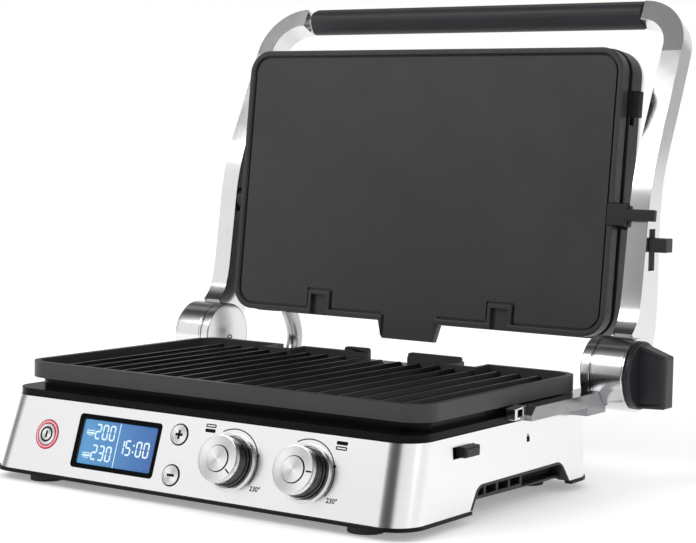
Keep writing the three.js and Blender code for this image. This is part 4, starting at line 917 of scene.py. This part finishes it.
# %% Plus and minus keys
MARK_LONG, MARK_WIDE = 3.3, 0.95
for name, middle in KEYS.items():
    key = disc(f"{name}_key", 7.2, -7.7, 0.9, middle)
    raise_faces(key, is_top, -0.35, 1.2)
    soften(key, 0.25, 3)
    fit(key, f"{name}_button", f"{name}_metal", [f"{name}_button"], panel)
    bars = [("across", MARK_LONG, MARK_WIDE, 0.64), ("up", MARK_WIDE, MARK_LONG, 0.65)]
    marks = [block(bar, (middle[0] - wide, middle[1] - tall, 0.5), (middle[0] + wide, middle[1] + tall, high))
             for bar, wide, tall, high in (bars if name == "plus" else bars[:1])]
    fit(joined(f"{name}_mark", marks), f"{name}_button", "ink", place=panel)
    seat = ring(f"{name}_seat", 8.2, 7.35, -1.2, 0.12, middle)
    fit(seat, "base", "frame", place=panel)

# %% [markdown]
# ## Knobs
# A knob is a dark fluted skirt under a bright turned cap, and a push button sits in the
# middle of the cap. The flutes could be a texture, but they are seen from the side, where
# only real ridges break the outline: every second face of the skirt is pushed out.

# %% Knob skirt and collar
FLUTES, FLUTE_HEIGHT = 96, 0.28


def flute(centre, normal):
    """True for every second face around the skirt."""
    slice_index = math.floor((math.atan2(centre.y, centre.x) / math.tau + 0.5) * 2 * FLUTES)
    return abs(normal.z) < 0.1 and slice_index % 2 == 0


skirt = disc("skirt", 16.7, 3.4, 12.6, sides=2 * FLUTES)
pick(skirt, faces=flute)
bpy.ops.mesh.extrude_faces_move(TRANSFORM_OT_shrink_fatten={"value": FLUTE_HEIGHT * MM})
done()
collar = disc("collar", 17.9, 0.6, 3.6, sides=96)
soften(collar, 0.6, 3)
print("skirt", len(skirt.data.polygons), "faces with", FLUTES, "flutes")

# %% Knob cap, button and pointer
crown = disc("crown", 17.2, 12.4, 15.6, sides=96)
round_edges(crown, lambda a, b: a.z > 15.5 and b.z > 15.5, 0.7, 2)
raise_faces(crown, lambda c, n: n.z > 0.9 and c.xy.length < 1, -0.15, 0.7)
carve(crown, disc("pit", 9.8, 14.2, 25))
notch_tool = block("pointer", (10.9, -0.6, 15.1), (15.6, 0.6, 25))
button = disc("button", 9.1, 8.1, 16.4)
raise_faces(button, is_top, -0.2, 1.2)
soften(button, 0.35, 3)
carve(crown, notch_tool)
soften(crown, 0.15, 2)
pointer = joined("pointer_fill", [block("line", (10.9, -0.6, 14.9), (15.6, 0.6, 15.2)),
                                  ring("gap", 9.75, 9.15, 14.1, 15.2, (0, 0), 72)])
print("cap", len(crown.data.polygons), "faces, button", len(button.data.polygons), "faces")

# %% [markdown]
# Both knobs are the same, turned to different marks. Each place gets a copy of every part,
# and a polished ring on the panel surrounds it.

# %% Knobs in their places
for side, (knob_x, angle, node) in KNOBS.items():
    spin = Matrix.Translation((knob_x * MM, KNOB_Y * MM, 0)) @ Matrix.Rotation(math.radians(angle), 4, "Z")
    fit(twin(crown, f"dial_cap_{side}", spin), node, f"{node}_metal", [node], panel)
    fit(twin(collar, f"dial_collar_{side}", spin), node, "skirt", place=panel)
    fit(twin(skirt, f"dial_skirt_{side}", spin), node, "skirt", place=panel, smooth=10)
    fit(twin(pointer, f"dial_pointer_{side}", spin), node, "ink", place=panel)
    fit(twin(button, f"dial_button_{side}", spin), f"knob_button_{side}", f"{node}_metal",
        [f"knob_button_{side}"], panel)
    halo = ring(f"dial_ring_{side}", 20.9, 18.4, -0.5, 1.8, (knob_x, KNOB_Y), 96)
    soften(halo, 0.6, 3)
    fit(halo, "base", "cast", place=panel)
for scrap in (crown, collar, skirt, pointer, button):
    bpy.data.objects.remove(scrap)

# %% [markdown]
# ## Printed marks
# The panel carries thin black print: a small sign of both plates over each knob, a scale
# arc with a dot, and the highest temperature. Ink is a layer of its own with almost no
# height, so every sign is a thin solid that lies just over the steel.

# %% Print on the panel
PRINT_LOW, PRINT_HIGH = 0.02, 0.07


def number(text, x, y, height_mm):
    """A number as flat text, made mesh and given a little thickness."""
    bpy.ops.object.select_all(action="DESELECT")
    bpy.ops.object.text_add(location=(x * MM, y * MM, PRINT_LOW * MM))
    letters = bpy.context.object
    letters.data.body = text
    letters.data.size = height_mm * 1.4 * MM
    letters.data.extrude = (PRINT_HIGH - PRINT_LOW) / 2 * MM
    letters.data.offset = 0.12 * MM
    bpy.ops.object.convert(target="MESH")
    return settle(bpy.context.object, "number")


prints = []
for side, sign_x, solid_top in [("left", 15.3, False), ("right", 129.5, True)]:
    knob_x = KNOBS[side][0]
    for low_y, filled in [(-5.9, solid_top), (-9.5, not solid_top)]:
        bar = slab("bar", (sign_x - 4.6, low_y, PRINT_LOW), (sign_x + 4.6, low_y + 2.6, PRINT_HIGH), 0.8, 3)
        if not filled:
            carve(bar, block("inside", (sign_x - 3.7, low_y + 0.85, -1), (sign_x + 3.7, low_y + 1.75, 1)))
        prints.append(bar)
    arc = ring("arc", 24.3, 23.5, PRINT_LOW, PRINT_HIGH, (knob_x, KNOB_Y), 120)
    carve(arc, block("cut_left", (knob_x - 40, KNOB_Y - 40, -1), (knob_x - 11.6, KNOB_Y + 40, 1)),
          block("cut_low", (knob_x - 12, KNOB_Y - 40, -1), (knob_x + 19.6, KNOB_Y, 1)))
    prints.append(arc)
    prints.append(disc("dot", 1.2, PRINT_LOW, PRINT_HIGH, (knob_x + 22.9, KNOB_Y + 7.4), 24))
    prints.append(number("230°", knob_x + 21.2, KNOB_Y - 17.8, 3.5))
fit(joined("panel_print", prints), "base", "ink", place=panel)

# %% [markdown]
# A small padlock is printed on the right side, which leans out a little. Its matrix is made
# from the three directions of that side: back along it, up it, and out of it.

# %% Padlock on the right side
side_lean = math.atan2(FLARE["side"], BASE["top"] - BASE["low"])
across, outwards = Vector((0, 1, 0)), Vector((math.cos(side_lean), 0, math.sin(side_lean)))
upwards = outwards.cross(across)
right_side = drawing @ Matrix.Translation(Vector((BASE["side"], 0, BASE["top"])) * MM) @ Matrix(
    (across, upwards, outwards)).transposed().to_4x4()
shackle = ring("shackle", 1.5, 0.9, PRINT_LOW, PRINT_HIGH, (24.2, -12.2), 32)
lock_body = slab("lock_body", (22, -16.6, PRINT_LOW), (26.4, -12.4, PRINT_HIGH), 0.5, 3)
fit(joined("padlock_print", [shackle, lock_body]), "base", "ink", place=right_side)

# %% [markdown]
# ## The steel wrap
# One sheet of stainless steel is bent round the base. It leans out towards its foot, most
# at the front. A real sheet is cut flat and then bent, but it is easier to bend the shape
# first: a slab with round corners gets its lower points spread, loses its top and bottom,
# and becomes a thin sheet. Then all its openings are cut.

# %% Flared blanks
def flare(piece, split_z=35):
    """Spreads the lower points: sideways a little, and forward at the front."""
    depth = BASE["back"] - BASE["front"]
    return resize(piece, lambda p: p.z < split_z,
                  (1 + FLARE["side"] / BASE["side"], 1 + FLARE["front"] / depth, 1), (0, BASE["back"], 0))


def housing_slab(name, grow=0.0):
    return flare(slab(
        name, (-BASE["side"] - grow, BASE["front"] - grow, BASE["low"]),
        (BASE["side"] + grow, BASE["back"] + grow, BASE["top"]), BASE["corner"] + grow, 18))


def hand_notch(name, inset=0.0, reach=250):
    """The long opening under both sides, with rounded upper corners."""
    tool = block(name, (-reach, -72.9 + inset, -5), (reach, 95.3 - inset, 25.5 - inset))
    resize(tool, lambda p: p.z > 10, (1, 0.7355, 1), (0, 13, 0))
    return round_edges(tool, lambda a, b: a.z > 20 and b.z > 20 and abs(a.y - b.y) < 1, 6 - inset, 5)


# %% Steel wrap
SHEET = 1.4
flat_panel = drawing.inverted() @ panel


def on_panel(tool):
    tool.data.transform(flat_panel)
    return tool


wrap = housing_slab("steel_wrap")
pick(wrap, faces=lambda c, n: abs(n.z) > 0.9)
bpy.ops.mesh.delete(type="FACE")
done()
apply_modifier(wrap, "SOLIDIFY", thickness=SHEET * MM, offset=-1, use_even_offset=True)
carve(
    wrap, hand_notch("notch"), block("slot", (170, -82, 47.5), (210, -52.6, 55.7)),
    block("tray_gap", (-70.3, 62, 23.7), (70.3, 140, 46.3)),
    *right_and_left("rail_gap", (177.7, 95.7, 57.7), (210, 140, 70)),
    on_panel(slab("window", (LEFT - 0.3, LOW - 0.3, -9), (RIGHT + 0.3, HIGH + 0.3, 9), 3, 6)),
    on_panel(disc("power_hole", 11.5, -9, 9, POWER)),
    *[on_panel(disc("key_hole", 7.5, -9, 9, middle)) for middle in KEYS.values()],
    *[on_panel(disc("shaft_hole", 3.3, -9, 9, (knob_x, KNOB_Y), 24)) for knob_x, _, _ in KNOBS.values()])
mains_hole = disc("mains_hole", 8.8, -15, 15, sides=48)
mains_hole.data.transform(
    Matrix.Translation(Vector((120, 126, 36)) * MM) @ Matrix.Rotation(math.pi / 2, 4, "X"))
carve(wrap, mains_hole)
soften(wrap, 0.25, 2, 40)
fit(wrap, "base", "wrap", ["base_shell"], drawing)

# %% [markdown]
# The cut edge of each hand opening is covered by a thin black strip of the moulding behind
# it. The strip is the opening's own shape, a little smaller. To end flush with the steel,
# it is cut to what it shares with the housing.

# %% Opening strips
strip = hand_notch("notch_strip", 0.25, 200)
carve(strip, hand_notch("inside", 1.9, 260), block("middle", (-183, -120, -20), (183, 120, 60)),
      block("under", (-300, -200, -20), (300, 200, 9.2)))
carve(strip, housing_slab("skin", 0.35), operation="INTERSECT")
fit(strip, "base", "satin", place=drawing)

# %% [markdown]
# The shallow scoop for the fingers starts at the opening's upper edge and slopes inwards to
# the foot of the base: a thin block whose upper points are pulled outwards. The left one
# is its mirror image, and the copy's faces are turned round to keep pointing outwards.

# %% Scoops
scoop = block("hand_scoop_right", (172, 24, 9.4), (173.6, 83, 24.9))
pick(scoop, points=lambda p: p.z > 20)
bpy.ops.transform.translate(value=(10.5 * MM, 0, 0))
done()
resize(scoop, lambda p: p.z < 12, (1, 0.8, 1), (172, 83, 9.4))
soften(scoop, 0.4)
fit(twin(scoop, "hand_scoop_left", mirror_x), "base", "scoop", place=drawing)
fit(scoop, "base", "scoop", place=drawing)

# %% [markdown]
# The plate release is a small block that slides in its slot. Its face is a little smaller
# than its foot, as on all mouldings, so that it leaves its mould.

# %% Plate release
release = block("plate_release", (185.3, -73.4, 47.8), (193.6, -54, 55.4))
raise_faces(release, lambda c, n: n.x > 0.9, 0.8, 1.2)
soften(release, 0.5)
fit(release, "base_release", "satin", ["base_release_slider"], drawing)

# %% [markdown]
# ## The deck
# A glossy black moulding closes the base and carries the lower plate. It has two steps
# with soft edges, and a deep pocket for the heater. Each step is a slab of its own, welded
# to the others, because every step has its own corner radius.

# %% Deck
deck = slab("deck_moulding", (-186.6, -127.9, 63.4), (186.6, 125.7, 68.6), 21.1, 16)
weld(deck, slab("upper_step", (-178.5, -109, 68.3), (178.5, 109, 75.1), 16.75, 16),
     slab("pocket_wall", (-174.4, -104.9, 49.1), (174.4, 104.9, 63.7), 14.7, 12))
carve(deck, slab("pocket", (-172, -102.5, 51.5), (172, 102.5, 90), 13.5, 12),
      *right_and_left("rail_seat", (177.7, -1.6, 64.3), (220, 140, 90)),
      *right_and_left("drop_seat", (177.7, 95.4, 57.4), (220, 140, 90)))
soften(deck, 1.3, 4, 40)
fit(deck, "base", "gloss", ["top_deck"], drawing)

# %% [markdown]
# ## Hubs
# Each hinge is a stack of turned drums: the ring of the bracket, a dark seam, and the drum
# at the foot of the arm. Spinning a profile would give them too, but a disc with many
# sides and rounded edges is quicker. Bright bands run along them, so few sides would show.

# %% Drums and rings
def turned_drum(name, radius, start, end, edge):
    """A drum along the hinge's axis, on the right side, with rounded edges."""
    drum = disc(name, radius, 0, end - start, sides=120)
    soften(drum, edge, 4)
    return lying(drum, start, HINGE["y"], HINGE["z"])


DRUM_RADIUS = 28.7
DRUMS = [("hinge_ring", "base", 183.95, 192.2, 1.1), ("hinge_drum", "arms", 193.7, 220.05, 1.5)]
for side, matrix in SIDES.items():
    for name, body, start, end, edge in DRUMS:
        drum = turned_drum(name, DRUM_RADIUS, start, end, edge)
        fit(twin(drum, f"{name}_{side}", matrix), body, "hub", place=drawing)
        bpy.data.objects.remove(drum)

# %% Dark seams
SEAM = {"radius": 28.1, "from": 192, "wide": 1.9}
for side, matrix in SIDES.items():
    seam = lying(disc("seam", SEAM["radius"], 0, SEAM["wide"], sides=96), SEAM["from"], HINGE["y"], HINGE["z"])
    soften(seam, 0.2)
    fit(twin(seam, f"hinge_seam_{side}", matrix), "base", "frame", place=drawing)
    bpy.data.objects.remove(seam)

# %% [markdown]
# A small screw head shows as a thin dark circle with a dot on the inner side of the left
# ring. At this size a print of it is enough.

# %% Screw in the left ring
screw = ring("hub_screw", 3.4, 2.6, 0, 0.25, (0, 0), 48)
weld(screw, disc("head", 1.1, 0, 0.25, sides=24))
screw.data.transform(Matrix.Translation(Vector((-183.95, HINGE["y"] + 3, HINGE["z"] - 3)) * MM)
                     @ Matrix.Rotation(math.pi / 2, 4, "Y"))
fit(screw, "base", "ink", place=drawing)

# %% [markdown]
# ## The release lever
# A thin disc turns on the end of the right hub and carries a blade for the thumb. The
# blade is a block that tapers outwards, with a shallow dish in its front and its back. Both
# come out of one mould, so they are welded and their shared edge is rounded.

# %% Lever
blade = block("lever_knob", (221.5, 132.5, 62), (246.6, 149.5, 112))
resize(blade, lambda p: p.x > 240, (1, 0.9, 0.8), (246.6, HINGE["y"], 67))
round_edges(blade, lambda a, b: a.x > 240 and b.x > 240, 2.2, 3)
raise_faces(blade, lambda c, n: abs(n.y) > 0.97 and c.x < 240, -1.8, 3.4)
round_edges(
    blade, lambda a, b: abs(a.x - b.x) > 8 and abs(a.z - b.z) < 12 and abs(a.y - HINGE["y"]) > 7.5, 1.6, 3)
plate_disc = disc("lever_disc", 26.5, 0, 4.4, sides=96)
round_edges(plate_disc, lambda a, b: a.z > 4.3 and b.z > 4.3, 1.4, 3)
lying(plate_disc, 220.3, HINGE["y"], HINGE["z"])
weld(plate_disc, blade)
soften(plate_disc, 0.5, 2, 35)
plate_disc.name = "lever_knob"
fit(plate_disc, "lever", "lever", ["release_lever"], drawing)

# %% [markdown]
# ## The grip
# The grip is a long sleeve. It isn't round, as a turned bar would be: it is a square bar
# with very round corners, turned a little forward, and a fine seam runs along it.

# %% Grip
GRIP = {"half": 10.9, "corner": 7.8, "aside": 3, "turn": 20}
grip = block("grip_sleeve", (-HANDLE["reach"] + GRIP["aside"], -GRIP["half"], -GRIP["half"]),
             (HANDLE["reach"] + GRIP["aside"], GRIP["half"], GRIP["half"]))
round_edges(grip, lambda a, b: abs(a.x - b.x) > 1, GRIP["corner"], 8)
soften(grip, 0.8, 3, 40)
carve(grip, block("seam", (-200, -13, -GRIP["half"]), (200, -10.7, -10.4)))
grip.data.transform(Matrix.Translation(Vector((0, HANDLE["y"], HANDLE["z"])) * MM)
                    @ Matrix.Rotation(math.radians(GRIP["turn"]), 4, "X"))
fit(grip, "arms", "grip", ["handle_grip"], drawing)

# %% [markdown]
# ## The cable tube
# The wires to the upper heater run through a bent metal tube behind the grill. A round
# section could be extruded step by step, but its bends would show corners. A curve gives
# an even bend: it is drawn through seven points, gets a round section, and is then made
# a mesh.

# %% Cable tube
TUBE_X, TUBE_RADIUS = -143, 6.9
TUBE_POINTS = [(127.4, 44), (146, 46.5), (168, 56), (182, 69), (187.3, 82), (185, 96), (176, 112.4)]
bpy.ops.object.select_all(action="DESELECT")
bpy.ops.curve.primitive_bezier_curve_add()
tube = bpy.context.object
tube.data.bevel_depth = TUBE_RADIUS * MM
tube.data.bevel_resolution = 7
tube.data.resolution_u = 14
tube.data.use_fill_caps = True
knots = tube.data.splines[0].bezier_points
knots.add(len(TUBE_POINTS) - len(knots))
for knot, (y, z) in zip(knots, TUBE_POINTS):
    knot.co = Vector((TUBE_X, y, z)) * MM
    knot.handle_left_type = knot.handle_right_type = "AUTO"
bpy.ops.object.convert(target="MESH")
tube = settle(bpy.context.object, "cable_tube")
fit(tube, "arms", "tube", ["cable_conduit"], drawing, smooth=60)

# %% [markdown]
# ## Pieces whose shape is already right
# Some castings and mouldings have their full shape in the frame, so modelling them again
# would only add errors. But their edges are knife sharp and real ones never are. Each gets
# a copy whose doubled points are merged and whose flat faces are made whole again, and
# then every edge is rounded.

# %% Castings and mouldings with rounded edges
def softened(node, name, width, finish_name):
    """A copy of a frame's node with every sharp edge rounded, fitted in its place."""
    source = nodes[node]
    piece = bpy.data.objects.new(name, source.data.copy())
    scene.collection.objects.link(piece)
    take(piece)
    bpy.ops.object.mode_set(mode="EDIT")
    bpy.ops.mesh.select_all(action="SELECT")
    bpy.ops.mesh.remove_doubles(threshold=0.00001)
    bpy.ops.mesh.dissolve_limited(angle_limit=math.radians(0.5))
    done()
    soften(piece, width)
    fit(piece, source["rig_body"], finish_name, [node])


for node, name, width, finish_name, slot in [
    ("bottom_cover", "bottom_moulding", 0.4, "trim", "matt_black"),
    ("side_recess_right", "hand_recess_right", 0.5, "satin", "matt_black"),
    ("side_recess_left", "hand_recess_left", 0.5, "satin", "matt_black"),
    ("hinge_bracket_right", "bracket_casting_right", 0.7, "bracket", "chrome"),
    ("hinge_bracket_left", "bracket_casting_left", 0.7, "bracket", "chrome"),
    ("arm_right", "arm_casting_right", 0.9, "cast", "chrome"),
    ("arm_left", "arm_casting_left", 0.9, "cast", "chrome"),
    ("cord_inlet", "inlet_socket", 0.4, "rubber", "rubber"),
    ("drip_tray", "drip_drawer", 0.8, "satin", "matt_black"),
    ("lid_frame", "lid_moulding", 1.2, "satin", "matt_black"),
    ("lid_cover", "lid_dome", 0.5, "lid_dome", "lid_steel"),
    ("tilt_stop", "tilt_tongue", 0.7, "satin", "matt_black"),
    ("lid_release_tab", "lid_catch_tab", 0.7, "satin", "matt_black"),
    ("slider_guide", "slot_liner", 0.3, "satin", "matt_black"),
    ("height_slider", "height_knob", 1.2, "satin", "matt_black"),
    ("hub_cap_left", "hub_cover", 0.8, "cast", "chrome"),
]:
    softened(node, name, width, finish_name)

# %% [markdown]
# The catch that holds the lower plate is a bright loop at the front end of the right rail,
# with a window through it. It is small but catches the light, so it is cut by hand.

# %% Catch loop
loop = block("catch_loop", (186.7, -7, 65.8), (195, 7.9, 76))
carve(loop, block("window", (180, -3.6, 68.4), (200, 4.2, 73.6)))
resize(loop, lambda p: p.y < -6, (1, 1, 0.8), (190, -7, 68))
soften(loop, 0.5, 3)
fit(loop, "base", "cast", ["plate_catch"], drawing)

# %% [markdown]
# ## Hidden pieces
# What sits inside, or under the base, keeps its plain shape from the frame. It shows only
# when a plate is lifted off, so it needs a true finish but no more detail.

# %% Finishes for the pieces that stay
kept = {
    "pin": ["hinge_pin_right", "hinge_pin_left", "pivot_pin_right", "pivot_pin_left", "handle_bar",
            "encoder_left", "encoder_right"],
    "element": ["lower_heater", "upper_heater"],
    "reflector": ["lower_reflector", "upper_reflector"],
    "circuit": ["power_board", "control_board"],
    "lens": ["display_lens"],
    "rubber": ["foot_front_left", "foot_front_right", "foot_rear_left", "foot_rear_right"],
}
for finish_name, names in kept.items():
    for name in names:
        nodes[name].data.materials.clear()
        nodes[name].data.materials.append(finish[finish_name])
print(sum(len(names) for names in kept.values()), "pieces keep their shape")

# %% [markdown]
# ## The floor
# A plain pale floor carries the grill and keeps its soft shadow. A little light of its own
# keeps it as white as the background where no shadow falls.

# %% Floor
bpy.ops.mesh.primitive_plane_add(size=40, location=(0, 0, 0))
floor = bpy.context.object
floor.name = "floor"
floor_material, floor_tree, floor_shader = new_material("pale_floor", specular=0.2)
floor_noise = noise(floor_tree, floor_tree.nodes.new("ShaderNodeTexCoord").outputs["Object"], 3.0)
FLOOR_DARK, FLOOR_LIGHT = (0.9, 0.9, 0.9), (0.93, 0.93, 0.93)
wire(floor_tree, between(floor_tree, floor_noise, FLOOR_DARK, FLOOR_LIGHT), floor_shader.inputs["Base Color"])
floor_shader.inputs["Roughness"].default_value = 0.8
floor_shader.inputs["Emission Color"].default_value = (1, 1, 1, 1)
floor_shader.inputs["Emission Strength"].default_value = 0.3
floor.data.materials.append(floor_material)
